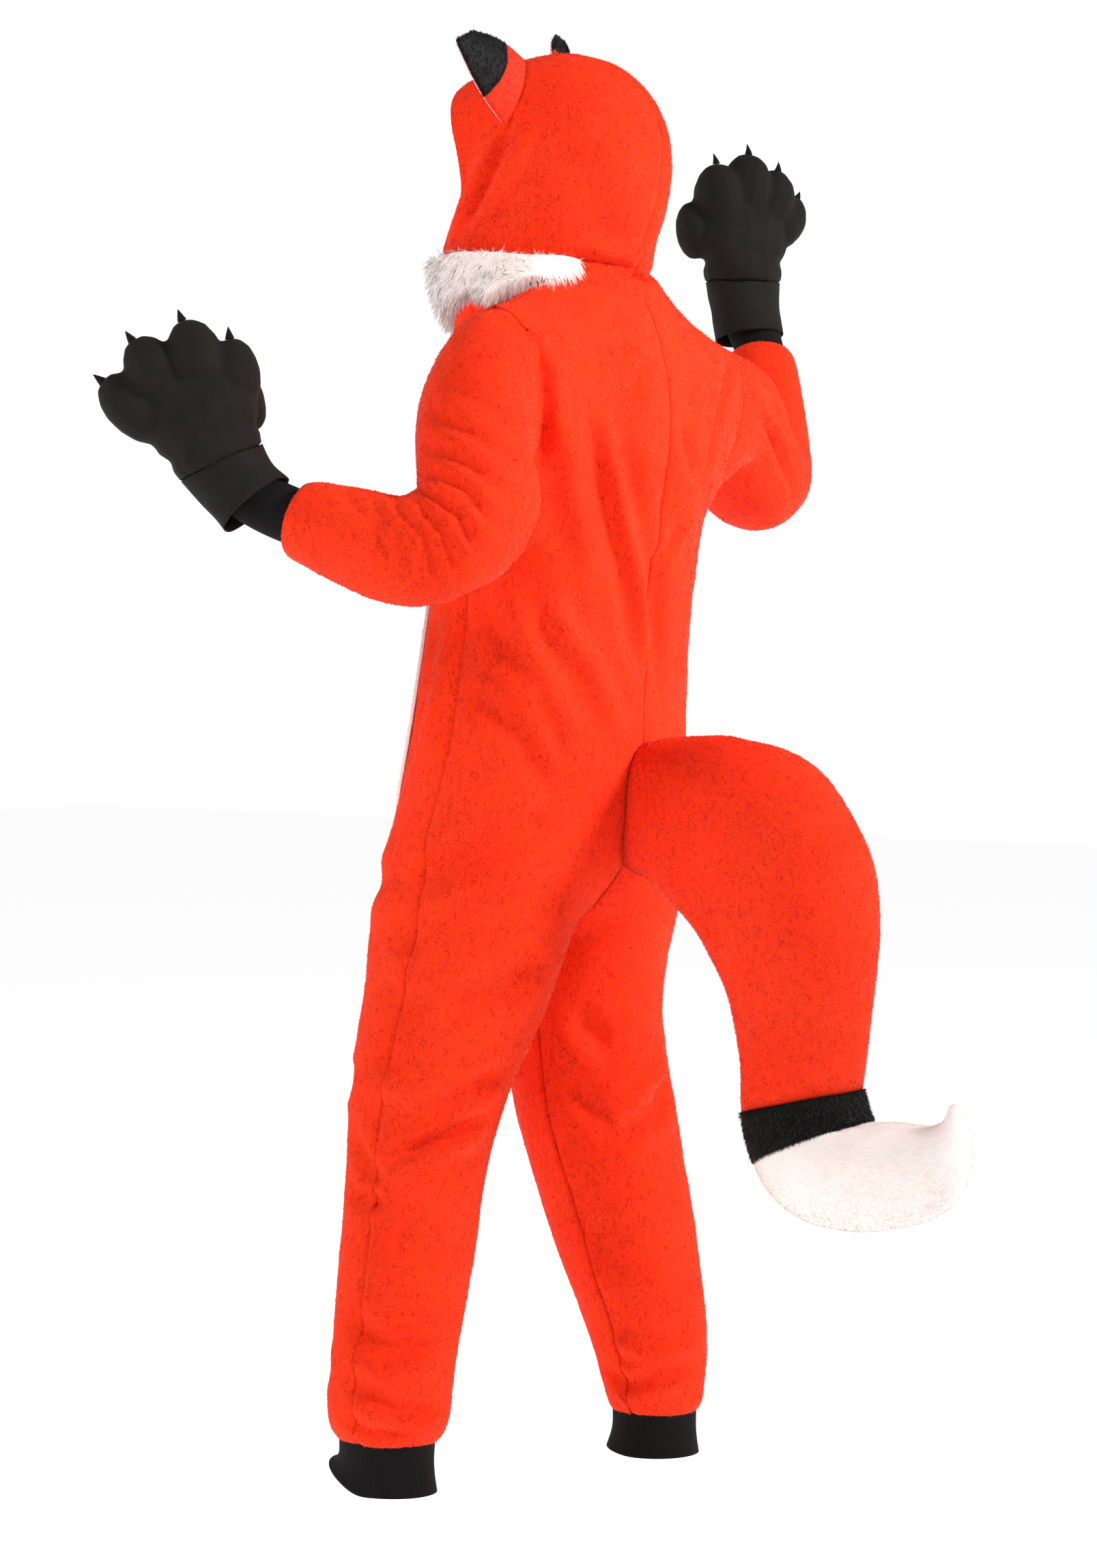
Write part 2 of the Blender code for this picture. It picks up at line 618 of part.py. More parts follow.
def hood_grid(side_name):
    """Rows from the neckline to the face opening; columns from the middle of the back to the throat."""
    rows = []
    for i in range(len(HOOD)):
        at_rest, turn = hood_ring(i)
        if side_name == "right":
            straight = turned_about(at_rest, -turn)
            straight[:, 0] = 2 * HEAD_CENTRE[0] - straight[:, 0]
            at_rest = turned_about(straight, turn)
        rows.append(at_rest)
    grid = np.array(rows)
    if side_name == "left":
        start, end = (np.array(HOOD_CREASE[key], float) for key in ("start", "end"))
        t = np.clip(((grid - start) @ (end - start)) / ((end - start) @ (end - start)), 0, 1)
        away = np.linalg.norm(grid - (start + t[..., None] * (end - start)), axis=-1)
        grid[..., 0] -= HOOD_CREASE["depth"] * np.exp(-((away / HOOD_CREASE["width"]) ** 2))
    return grid


class Skin:
    """All pieces of one layer of cloth, so that pieces which share a seam share its normals."""

    def __init__(self):
        self.pieces = {}

    def add(self, name, grid, wraps=False, flip=False):
        self.pieces[name] = {"grid": np.array(grid, float), "wraps": wraps, "flip": flip}

    def grid_faces(self, piece):
        rows, columns = piece["grid"].shape[:2]
        last = columns if piece["wraps"] else columns - 1
        faces = []
        for i in range(rows - 1):
            for j in range(last):
                k = (j + 1) % columns
                quad = ((i, j), (i, k), (i + 1, k), (i + 1, j))
                faces.append(quad[::-1] if piece["flip"] else quad)
        return faces

    def find_normals(self):
        total = {}
        for piece in self.pieces.values():
            grid = piece["grid"]
            for quad in self.grid_faces(piece):
                corners = [grid[c] for c in quad]
                normal = np.cross(corners[2] - corners[0], corners[3] - corners[1])
                for c in quad:
                    total.setdefault(self.key(grid[c]), np.zeros(3))
                    total[self.key(grid[c])] += normal
        for piece in self.pieces.values():
            grid = piece["grid"]
            piece["normals"] = unit(np.array([[total[self.key(p)] for p in row] for row in grid]))

    @staticmethod
    def key(point):
        return tuple(int(round(v * 20)) for v in point)

    def fold(self):
        for piece in self.pieces.values():
            piece["grid"] = piece["grid"] + piece["normals"] * fold_depth(piece["grid"])[..., None]

    def tree(self, names):
        points, faces = [], []
        for name in names:
            piece = self.pieces[name]
            start, columns = len(points), piece["grid"].shape[1]
            points.extend(piece["grid"].reshape(-1, 3))
            faces.extend([tuple(start + i * columns + j for i, j in quad) for quad in self.grid_faces(piece)])
        return BVHTree.FromPolygons([Vector(p) for p in points], faces)


def inward(grid, normals, wraps):
    """At each border point, the unit direction along the cloth, square to the seam and away from it."""
    def square(border, beside, border_normals, closed):
        after = np.roll(border, -1, axis=0) - border
        before = border - np.roll(border, 1, axis=0)
        if not closed:
            after[-1], before[0] = before[-1], after[0]
        both = []
        for line in (before, after):
            across = unit(np.cross(border_normals, line))
            both.append(across * np.sign((across * (beside - border)).sum(-1, keepdims=True)))
        return (both[0] + both[1]) / np.maximum(1 + (both[0] * both[1]).sum(-1, keepdims=True), 0.5)

    found = np.zeros_like(grid)
    found[0] += square(grid[0], grid[1], normals[0], wraps)
    found[-1] += square(grid[-1], grid[-2], normals[-1], wraps)
    if not wraps:
        found[:, 0] += square(grid[:, 0], grid[:, 1], normals[:, 0], False)
        found[:, -1] += square(grid[:, -1], grid[:, -2], normals[:, -1], False)
    return found


def wall_faces(points, rows, columns, wraps):
    """Faces of a closed wall whose outer points come first and inner points after.

    Its edges are split along their shorter diagonals, so that the edges of two neighbours run side by side.
    """
    size = rows * columns
    last = columns if wraps else columns - 1
    faces = []

    def at(i, j, inner=False):
        return i * columns + j % columns + (size if inner else 0)

    for i in range(rows - 1):
        for j in range(last):
            faces.append((at(i, j), at(i, j + 1), at(i + 1, j + 1), at(i + 1, j)))
            faces.append((at(i, j, True), at(i + 1, j, True), at(i + 1, j + 1, True), at(i, j + 1, True)))
    edges = [((0, j + 1), (0, j)) for j in range(last)]
    edges += [((rows - 1, j), (rows - 1, j + 1)) for j in range(last)]
    if not wraps:
        edges += [((i, 0), (i + 1, 0)) for i in range(rows - 1)]
        edges += [((i + 1, columns - 1), (i, columns - 1)) for i in range(rows - 1)]
    for a, b in edges:
        ends = at(*a), at(*b), at(*b, True), at(*a, True)
        across = [np.linalg.norm(points[ends[k]] - points[ends[k + 2]]) for k in (0, 1)]
        k = 0 if across[0] < across[1] else 1
        faces.append((ends[k], ends[k + 1], ends[k + 2]))
        faces.append((ends[k], ends[k + 2], ends[(k + 3) % 4]))
    return faces


def add_shell(name, outer, inner, colour, wraps=False):
    """A closed piece between two grids of points in mm."""
    rows, columns = outer.shape[:2]
    points = list(outer.reshape(-1, 3) * MM) + list(inner.reshape(-1, 3) * MM)
    return add_mesh(name, points, wall_faces(points, rows, columns, wraps), colour)


def add_wall(name, grid, normals, wall, colour, wraps=False, cut_back=0.0):
    """A cloth wall from its outer points in mm, trimmed at every border so that its neighbours clear it."""
    outer = grid + inward(grid, normals, wraps) * (SEAM_GAP / 2 / MM) + cut_back
    return add_shell(name, outer, outer - normals * (wall / MM), colour, wraps)


def free_normals(grid, wraps, flip=False):
    skin = Skin()
    skin.add("piece", grid, wraps, flip)
    skin.find_normals()
    return skin.pieces["piece"]["normals"]


def outward_normals(rings):
    """Normals of a tube, pointing away from its middle."""
    normals = free_normals(rings, True)
    around = rings - rings.mean(axis=1, keepdims=True)
    return normals if (around * normals).sum() > 0 else -normals


def build_skin():
    """Grids of every plush panel, with shared normals at their seams and the large folds in them."""
    skin = Skin()
    for side_name, side in SIDES.items():
        for face in ("front", "back"):
            faces_out = (face == "back") == (side > 0)
            skin.add(f"{face}_{side_name}", panel_grid(side_name, face), flip=not faces_out)
        skin.add(f"sleeve_{side_name}", sleeve_grid(side_name)[0], wraps=True, flip=side > 0)
        skin.add(f"hood_{side_name}", hood_grid(side_name), flip=side > 0)
    skin.find_normals()
    skin.fold()
    skin.find_normals()
    for name, piece in skin.pieces.items():
        if name.startswith(("front", "back")):
            piece["normals"][-1] = (0, 0, -1)
        elif name.startswith("sleeve"):
            piece["normals"][-1] = sleeve_grid(name.split("_")[1])[1]
    return skin


def add_panels(skin):
    for name, piece in skin.pieces.items():
        cut_back = np.zeros_like(piece["grid"])
        if name.startswith(("front", "back")):
            crotch = ARMHOLE_SPANS + len(TRUNK_LEVELS)
            cut_back[crotch, 0, 1] = 0.3 if name.startswith("back") else -0.3
        if name.startswith("front"):
            side = 1 if name.endswith("left") else -1
            for i in range(piece["grid"].shape[0]):
                if piece["grid"][i, 0, 2] > ZIP["bottom_z"] - 1:
                    cut_back[i, 0, 0] = side * (ZIP["half_width"] + 0.2)
        add_wall(name, piece["grid"], piece["normals"], PLUSH_WALL, "orange", piece["wraps"], cut_back)


def along_row(points, share):
    """A point part of the way along a row of points."""
    place = min(max(share, 0.0), 1.0) * (len(points) - 1)
    i = min(int(place), len(points) - 2)
    return lerp(points[i], points[i + 1], place - i)


def add_tummy(skin, side_name):
    """Half of the white oval, laid on the front panel's own rows."""
    piece = skin.pieces[f"front_{side_name}"]
    heights = piece["grid"][:, 0, 2]
    inside = [i for i, z in enumerate(heights) if TUMMY["bottom_z"] + 4 < z < TUMMY["top_z"] - 12]
    places = ([np.interp(-TUMMY["top_z"] + 3, -heights, range(len(heights)))] + inside
              + [np.interp(-TUMMY["bottom_z"] - 3, -heights, range(len(heights)))])
    outer, inner = [], []
    for place in places:
        i = min(int(place), len(heights) - 2)
        row = lerp(piece["grid"][i], piece["grid"][i + 1], place - i)
        normals = unit(lerp(piece["normals"][i], piece["normals"][i + 1], place - i))
        end = TUMMY["top_z"] if row[0, 2] > TUMMY["widest_z"] else TUMMY["bottom_z"]
        away = (row[0, 2] - TUMMY["widest_z"]) / (end - TUMMY["widest_z"])
        start = TUMMY["from_middle"] / (np.linalg.norm(row[1] - row[0]) * (PANEL_COLUMNS - 1))
        width = max(TUMMY["share"] * math.sqrt(max(0.0, 1 - away**2)), start + 0.05)
        shares = np.linspace(start, width, TUMMY_COLUMNS)
        points = np.array([along_row(row, s) for s in shares])
        outward = unit(np.array([along_row(normals, s) for s in shares]))
        inner.append(points + outward * TUMMY["lift"])
        outer.append(inner[-1] + outward * TUMMY["wall"])
    add_shell(f"tummy_{side_name}", np.array(outer), np.array(inner), "white")


def extrude(name, profile, low, high, frame, colour, **finish):
    """A prism: its profile is pairs (a, b), it runs from low to high, and frame turns (a, b, c) into mm."""
    count = len(profile)
    points = [frame(a, b, c) * MM for c in (low, high) for a, b in profile]
    faces = [tuple(range(count)), tuple(range(2 * count - 1, count - 1, -1))]
    faces += [(k, (k + 1) % count, count + (k + 1) % count, count + k) for k in range(count)]
    return add_mesh(name, points, faces, colour, smooth=False, **finish)


def add_zip(skin):
    """The tape between the two fronts, with its slider and the pull that hangs from it."""
    grid = skin.pieces["front_left"]["grid"]
    line = np.array([p for p in grid[:, 0] if p[2] > ZIP["bottom_z"] - 1])
    line[0] += (line[1] - line[0]) * 0.06
    line[:, 1] += ZIP["recess"]
    outer = np.stack([line - (ZIP["half_width"], 0, 0), line + (ZIP["half_width"], 0, 0)], 1)
    add_shell("zip_tape", outer, outer + (0, ZIP["wall"], 0), "knit")

    drop = unit(line[1] - line[0])
    middle = lerp(line[0], line[1], (line[0, 2] - SLIDER["z"]) / (line[0, 2] - line[1, 2]))
    out = np.array([0, drop[2], -drop[1]])
    across = np.array([1.0, 0, 0])

    def slider_frame(x, y, z):
        return middle + across * x + out * y - drop * z

    lug_in = PULL["barrel_half"] + 0.25
    lug_out = lug_in + SLIDER["lug_wall"]
    wide, plate, lug = SLIDER["half_width"], SLIDER["plate"], SLIDER["plate"] + SLIDER["lug"]
    right = [(wide, 0.3), (wide, plate), (lug_out, plate), (lug_out, lug), (lug_in, lug), (lug_in, plate)]
    profile = right + [(-x, y) for x, y in right[::-1]]
    high = SLIDER["height"] / 2
    extrude("zip_slider", profile, -high, high, slider_frame, "metal", roughness=0.35, metallic=1.0)

    radius, half_wall = PULL["barrel_radius"], PULL["wall"] / 2
    pivot = slider_frame(0, plate + 0.35 + radius, 0)
    reach = math.sqrt(radius**2 - half_wall**2)
    start = math.atan2(-reach, half_wall)
    barrel = [(radius * math.cos(t), radius * math.sin(t))
              for t in np.linspace(start, start + 2 * math.pi - 2 * math.atan2(half_wall, reach), 9)]
    neck, end = -7.5, -PULL["length"]
    tab = [(-half_wall, neck), (-half_wall, end), (half_wall, end), (half_wall, neck)]

    def pull_frame(y, z, x):
        return pivot + across * x + out * y + np.array([0, 0, 1.0]) * z

    stem = barrel + [(-half_wall, neck), (half_wall, neck)]
    points, faces = [], []
    for x in (-PULL["barrel_half"], PULL["barrel_half"]):
        points += [pull_frame(y, z, x) for y, z in stem]
    count = len(stem)
    faces += [tuple(range(count)), tuple(range(2 * count - 1, count - 1, -1))]
    faces += [(k, (k + 1) % count, count + (k + 1) % count, count + k)
              for k in range(count) if k != count - 2]
    base = len(points)
    for x in (-PULL["half_width"], PULL["half_width"]):
        points += [pull_frame(y, z, x) for y, z in tab]
    a, b, c, d = count - 2, count - 1, 2 * count - 1, 2 * count - 2
    faces += [(base, base + 1, base + 2, base + 3), (base + 7, base + 6, base + 5, base + 4),
              (base, base + 4, base + 5, base + 1), (base + 1, base + 5, base + 6, base + 2),
              (base + 2, base + 6, base + 7, base + 3),
              (a, base, base + 3, b), (d, c, base + 7, base + 4), (a, d, base + 4, base),
              (b, base + 3, base + 7, c)]
    add_mesh("zip_pull", [p * MM for p in points], faces, "metal", False, 0.35, 1.0)


def add_collar(tree, side_name):
    """Half of the fur collar, from a point behind the shoulder round to the zip."""
    side = SIDES[side_name]
    outer, inner = [], []
    for row in COLLAR[side_name]:
        at = dict(zip(COLLAR_COLUMNS, row))
        a = math.radians(at["angle"])
        out = np.array([side * math.sin(a), math.cos(a), 0])
        slope = math.radians(np.interp(at["angle"], (40, 90, 130, 175), (30, 34, 62, 82)))
        start = neckline(at["angle"]) * (side, 1, 1)
        start += out * np.interp(at["angle"], (40, 100, 150), (4, 6, 13))
        outer_row, inner_row = [], []
        for k in range(COLLAR_ROWS):
            t = k / (COLLAR_ROWS - 1)
            guess = start + (out * math.cos(slope) - np.array([0, 0, math.sin(slope)])) * at["width"] * t
            place, normal, _, _ = tree.find_nearest(Vector(guess))
            normal = unit(np.array(normal) + out * 0.5 + np.array([0, 0, 0.4]))
            under = np.array(place) + normal * lerp(COLLAR_SEAM_LIFT[side_name], COLLAR_LIFT, min(1, 2.5 * t))
            height = at["pile"] * (0.8 + 0.5 * t - 0.75 * t**2)
            roll = np.interp(at["angle"], (60, 110), (3, 9)) * (1 - t) ** 2
            outer_row.append(under + normal * height + (out + np.array([0, 0, 1])) * roll)
            inner_row.append(under)
        outer.append(outer_row)
        inner.append(inner_row)
    add_shell(f"collar_{side_name}", np.array(outer), np.array(inner), "white")


def tail_ring(position, proud=0.0):
    at = rows_at(TAIL, TAIL_COLUMNS, position)
    direction = math.radians(at["direction"])
    along = np.array([0, math.cos(direction), math.sin(direction)])
    across = np.array([0, -along[2], along[1]])
    centre = np.array([0, at["y"], at["z"]])
    ring = [centre + across * (at["half_height"] + proud) * math.cos(t)
            + np.array([1.0, 0, 0]) * (at["half_thick"] + proud) * math.sin(t)
            for t in np.linspace(0, 2 * math.pi, TAIL_AROUND, endpoint=False)]
    return np.array(ring), centre, along


def add_loft(name, rings, start, end, colour):
    """A solid through rings of points in mm, closed by a point at each end."""
    count = len(rings[0])
    points = [start] + [p for ring in rings for p in ring] + [end]
    faces = []
    for k in range(count):
        m = (k + 1) % count
        faces.append((0, 1 + m, 1 + k))
        for i in range(len(rings) - 1):
            low, top = 1 + i * count, 1 + (i + 1) * count
            faces.append((low + k, low + m, top + m, top + k))
        last = 1 + (len(rings) - 1) * count
        faces.append((last + k, last + m, len(points) - 1))
    return add_mesh(name, [np.array(p) * MM for p in points], faces, colour)


def add_tail(tree):
    """Three stuffed pieces in a line: the orange length, the black band and the white tip."""
    band, tip = TAIL_SPLITS
    half_gap = SEAM_GAP / 2 / MM

    def laid_on_back(points):
        found = []
        for p in points:
            hit = tree.ray_cast(Vector((p[0], 300, p[2])), Vector((0, -1, 0)))[0]
            found.append(np.array([p[0], hit[1] + TAIL_LIFT, p[2]]))
        return found

    first, centre, _ = tail_ring(0)
    root = laid_on_back(first)
    rings = [laid_on_back(lerp(centre, first, share)) for share in TAIL_ROOT_RINGS] + [root]
    rings += [tail_ring(i)[0] for i in range(1, math.ceil(band))]
    cut, middle, along = tail_ring(band)
    rings.append(cut - along * half_gap)
    add_loft("tail_body", rings, laid_on_back([centre])[0], middle - along * half_gap, "orange")
    rings = []
    places = np.linspace(band, tip, 3)
    for place in places:
        ring, _, _ = tail_ring(place, BAND_PROUD)
        rings.append(ring)
    tip_cut, tip_middle, tip_along = tail_ring(tip)
    rings[0], rings[-1] = rings[0] + along * half_gap, rings[-1] - tip_along * half_gap
    add_loft("tail_band", rings, middle + along * half_gap, tip_middle - tip_along * half_gap, "black")
    rings = [tip_cut + tip_along * half_gap] + [tail_ring(i)[0] for i in range(int(tip) + 1, len(TAIL))]
    last, end, last_along = tail_ring(len(TAIL) - 1)
    add_loft("tail_tip", rings, tip_middle + tip_along * half_gap, end + last_along * 5, "white")


def add_ear(tree, side_name):
    """An ear: cupped plush back, black tip and pink inner face, standing on the hood."""
    side = SIDES[side_name]
    turn = math.radians(HEAD_TURN)
    centre = np.array(HEAD_CENTRE, float)

    def world(point):
        return turned_about(np.array([point]), turn)[0]

    base, lifts = [], []
    for s in np.linspace(0, 1, EAR_COLUMNS):
        angle = math.radians(lerp(EAR["from_angle"], EAR["to_angle"], s))
        start = centre + (0, -EAR["forward"] + EAR["cup"] * math.sin(math.pi * s), 0)
        to = world(start + np.array([side * math.sin(angle), 0, math.cos(angle)])) - world(start)
        place, normal, _, _ = tree.ray_cast(Vector(world(start)), Vector(to))
        base.append(np.array(place))
        lifts.append(np.array(normal))
    base, lifts = np.array(base), np.array(lifts)
    tip = world(np.array(EARS[side_name]["tip"], float))
    chord = unit(base[-1] - base[0])
    tip_edge = unit(chord * (1, 1, EAR["tip_slope"]))
    rise = tip - base.mean(axis=0)
    back = unit(np.cross(chord, rise)) * side
    if back[1] < 0:
        back = -back

    def sheet(t_at, rows):
        grid = []
        for i in range(rows):
            row = []
            for s in np.linspace(0, 1, EAR_COLUMNS):
                t = t_at(i / (rows - 1), s)
                foot = along_row(base, s) + unit(along_row(lifts, s)) * 0.9
                head = tip + tip_edge * (2 * s - 1) * EAR["tip_half"]
                point = lerp(foot, head, t)
                point = point + chord * (2 * s - 1) * EAR["edge_bow"] * math.sin(math.pi * t)
                point = point + back * (EAR["bulge"] * math.sin(math.pi * s) * t * (1.25 - t))
                row.append(point)
            grid.append(row)
        return np.array(grid)

    def split(s):
        return EAR["tip_split"] - EAR["split_bow"] * math.sin(math.pi * s)

    def wall(name, grid, thick, shift, colour):
        normals = free_normals(grid, False)
        if (normals @ back).mean() < 0:
            normals = -normals
        outer, inner = grid + normals * shift, grid + normals * (shift - thick)
        for layer in (outer, inner):
            for j, point in enumerate(layer[0]):
                place, up, _, _ = tree.find_nearest(Vector(point))
                height = float(np.dot(point - np.array(place), np.array(up)))
                layer[0, j] += np.array(up) * max(0.0, EAR["clear"] - height)
        add_shell(name, outer, inner, colour)

    gap = EAR["seam"] / np.linalg.norm(rise)
    low = sheet(lambda t, s: t * (split(s) - gap / 2), EAR_ROWS["back"])
    high = sheet(lambda t, s: lerp(split(s) + gap / 2, 1, t), EAR_ROWS["tip"])
    lining = sheet(lambda t, s: lerp(0.05, 0.97, t), EAR_ROWS["inner"])
    wall(f"ear_back_{side_name}", low, EAR["wall"], 0.0, "orange")
    wall(f"ear_tip_{side_name}", high, EAR["wall"], 0.0, "black")
    wall(f"ear_inner_{side_name}", lining, EAR["pink_wall"], -EAR["wall"] - 0.8, "pink")


def add_ankle_cuff(side_name):
    """Knit cuff that comes out of the leg's hem and spreads over the shoe's collar."""
    low = LEGS[side_name][-1]
    hem = dict(zip(LEG_COLUMNS, low))
    outer = []
    for row in ANKLE_CUFFS[side_name]:
        at = dict(zip(ANKLE_COLUMNS, row))
        ring = []
        for face, shares in (("back", np.linspace(0, 1, PANEL_COLUMNS)[:-1]),
                             ("front", np.linspace(1, 0, PANEL_COLUMNS)[:-1])):
            for s in shares:
                p = leg_point(side_name, face, s, low[0]) - (hem["x"], hem["y"], 0)
                toward_front = max(0.0, -p[1] / hem["half_y"])
                scale = (1 + (at["wider"] - ANKLE_CLEAR) / hem["half_x"],
                         1 + (at["deeper"] - ANKLE_CLEAR) / hem["half_y"], 1)
                ring.append(p * scale + (hem["x"], hem["y"] - at["forward"] * (0.4 + 0.6 * toward_front),
                                         -at["drop"] + at["front_lift"] * toward_front))
        outer.append(ring)
    outer = np.array(outer)
    normals = outward_normals(outer)
    add_shell(f"ankle_cuff_{side_name}", outer, outer - normals * (KNIT_WALL / MM), "knit", wraps=True)


def add_wrist_cuff(skin, side_name):
    """Knit cuff that comes out of the sleeve's hem and goes on into the mitten's band."""
    hand = MITTENS[side_name]
    last = skin.pieces[f"sleeve_{side_name}"]["grid"][-1]
    out = sleeve_grid(side_name)[1]
    middle = last.mean(axis=0)
    hem, seam = np.array(hand["hem"], float), np.array(hand["seam"], float)
    spokes = (last - middle) * WRIST_RADIUS / (WRIST_RADIUS + 0.3)
    spokes -= np.outer(spokes @ out, out)
    start, far = middle + out * 5, lerp(hem, seam, 0.45)
    leave, arrive = out * np.linalg.norm(far - middle), (seam - hem) * 0.9
    rings, facing = [middle - out * 16 + spokes], out
    for t in (0, 0.3, 0.6, 0.8, 1):
        centre = hermite(start, far, leave, arrive, t)
        direction = unit(hermite(start, far, leave, arrive, min(t + 0.02, 1))
                         - hermite(start, far, leave, arrive, min(t, 0.98)))
        spokes = np.array([turned(p, facing, direction) for p in spokes])
        facing = direction
        rings.append(centre + spokes)
    outer = np.array(rings)
    normals = outward_normals(outer)
    add_shell(f"wrist_cuff_{side_name}", outer, outer - normals * (KNIT_WALL / MM), "knit", wraps=True)


def hand_frame(side_name):
    """Matrix from a mitten's own frame to the row's, as columns x, y, z."""
    hand = MITTENS[side_name]
    up = unit(np.array(hand["up"], float))
    back = np.array(hand["back"], float)
    back = unit(back - np.dot(back, up) * up)
    thumb = np.cross(back, up) * (1 if side_name == "right" else -1)
    return np.stack([thumb, back, up], 1)


def ball(name, centre, half, lean, frame, origin, around=14, rings=8):
    """An ellipsoid in a mitten's frame, leaned about the frame's y axis by an angle toward the thumb."""
    points, faces = [(0, 0, 1)], []
    for i in range(1, rings):
        polar = math.pi * i / rings
        points += [(math.sin(polar) * math.cos(t), math.sin(polar) * math.sin(t), math.cos(polar))
                   for t in np.linspace(0, 2 * math.pi, around, endpoint=False)]
    points.append((0, 0, -1))
    c, s = math.cos(math.radians(lean)), math.sin(math.radians(lean))
    lean_by = np.array([[c, 0, s], [0, 1, 0], [-s, 0, c]])
    points = (np.array(points) * half) @ lean_by.T + centre
    for k in range(around):
        m = (k + 1) % around
        faces.append((0, 1 + k, 1 + m))
        for i in range(rings - 2):
            low, high = 1 + i * around, 1 + (i + 1) * around
            faces.append((low + k, high + k, high + m, low + m))
        last = 1 + (rings - 2) * around
        faces.append((len(points) - 1, last + m, last + k))
    world = (points @ frame.T + origin) * MM
    return add_mesh(name, world, faces, "black")


def apply_boolean(target, other, operation):
    change = target.modifiers.new("cut", "BOOLEAN")
    change.operation = operation
    change.solver = "EXACT"
    change.object = other
    graph = bpy.context.evaluated_depsgraph_get()
    mesh = bpy.data.meshes.new_from_object(target.evaluated_get(graph))
    target.modifiers.clear()
    old = target.data
    target.data = mesh
    mesh.name = old.name
    bpy.data.objects.remove(other)


def add_mitten(side_name):
    """Stuffed paw with a pocket for the hand, its wrist band and its claws."""
    hand = MITTENS[side_name]
    frame, origin = hand_frame(side_name), np.array(hand["seam"], float)
    lobes = PALM_LOBES + FINGER_LOBES[side_name] + (("thumb", *hand["thumb"]),)
    body = None
    for _, x, y, z, hx, hy, hz, lean in lobes:
        name = f"mitten_{side_name}" if body is None else "lobe"
        lobe = ball(name, (x, y, z), (hx, hy, hz), lean, frame, origin)
        if body is None:
            body = lobe
        else:
            apply_boolean(body, lobe, "UNION")
    room = (POCKET["half_x"], POCKET["half_y"], POCKET["half_z"])
    pocket = ball("pocket", (0, 0, POCKET["z"]), room, 0, frame, origin)
    apply_boolean(body, pocket, "DIFFERENCE")
    corners = [(-90, -80), (90, -80), (90, 80), (-90, 80)]
    gap = SEAM_GAP / 2 / MM
    below = extrude("below", corners, -90, gap, lambda *p: frame @ np.array(p) + origin, "black")
    apply_boolean(body, below, "DIFFERENCE")
    body.data.shade_smooth()
    body.data.set_sharp_from_angle(angle=math.radians(50))
    add_band(side_name, frame, origin)
    add_claws(side_name, body, frame, origin)


def add_band(side_name, frame, origin):
    """The mitten's wrist band, from the paw's seam down to its loose hem."""
    hand = MITTENS[side_name]
    hem = np.array(hand["hem"], float)
    up = frame[:, 2]
    outer = []
    bands = hand["band"]
    for i, t in enumerate(np.linspace(0, 1, len(bands))):
        centre = hermite(origin, hem, -up * 70, (hem - origin), t)
        direction = unit(lerp(up, unit(origin - hem), t))
        x_axis = unit(frame[:, 0] - np.dot(frame[:, 0], direction) * direction)
        y_axis = unit(frame[:, 1] - np.dot(frame[:, 1], direction) * direction
                      - np.dot(frame[:, 1], x_axis) * x_axis)
        half_x, half_y = bands[i]
        outer.append([centre + x_axis * half_x * math.cos(a) + y_axis * half_y * math.sin(a)
                      for a in np.linspace(0, 2 * math.pi, 16, endpoint=False)])
    outer = np.array(outer)
    outer[0] -= up * SEAM_GAP / 2 / MM
    normals = outward_normals(outer)
    normals[0] = unit(normals[0] - np.outer(normals[0] @ up, up))
    add_shell(f"mitten_band_{side_name}", outer, outer - normals * (KNIT_WALL / MM), "black", wraps=True)


def add_claws(side_name, body, frame, origin):
    """A bent cone on each finger lobe, its foot following the lobe."""
    graph = bpy.context.evaluated_depsgraph_get()
    tree = BVHTree.FromObject(body, graph)
    for name, x, y, z, _, _, _, lean in FINGER_LOBES[side_name]:
        angle = math.radians(lean)
        axis = frame @ np.array([math.sin(angle), 0.0, math.cos(angle)])
        side_axis = frame @ np.array([math.cos(angle), 0.0, -math.sin(angle)])
        face_axis = frame[:, 1]
        centre = frame @ np.array([x, y, z]) + origin
        rings = []
        for i in range(CLAW["rings"]):
            t = i / CLAW["rings"]
            radius = CLAW["radius"] * (1 - t) ** 0.9
            ring = []
            for a in np.linspace(0, 2 * math.pi, CLAW["around"], endpoint=False):
                spoke = side_axis * math.cos(a) * radius + face_axis * math.sin(a) * radius
                if i == 0:
                    start = (centre + spoke + axis * 120) * MM
                    place = tree.ray_cast(Vector(start), Vector(-axis))[0]
                    ring.append(np.array(place) / MM + axis * CLAW["clear"])
                else:
                    foot = np.mean(rings[0], axis=0)
                    ring.append(foot + spoke + axis * CLAW["length"] * t - face_axis * CLAW["curl"] * t**2)
            rings.append(np.array(ring))
        foot = tree.ray_cast(Vector((centre + axis * 120) * MM), Vector(-axis))[0]
        foot = np.array(foot) / MM + axis * CLAW["clear"]
        tip = np.mean(rings[0], axis=0) + axis * CLAW["length"] - face_axis * CLAW["curl"]
        add_loft(f"claw_{name}_{side_name}", rings, foot, tip, "black")


def main():
    clear_scene()
    skin = build_skin()
    add_panels(skin)
    body = skin.tree([name for name in skin.pieces if name.startswith(("front", "back"))])
    hood = skin.tree(["hood_left", "hood_right"])
    for side_name in SIDES:
        add_tummy(skin, side_name)
        add_collar(body, side_name)
        add_ear(hood, side_name)
        add_wrist_cuff(skin, side_name)
        add_ankle_cuff(side_name)
        add_mitten(side_name)
    add_zip(skin)
    add_tail(body)


main()
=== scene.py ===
import math

import bmesh
import bpy
import numpy as np
from mathutils import Matrix, Vector, noise
from mathutils.bvhtree import BVHTree
from mathutils.kdtree import KDTree


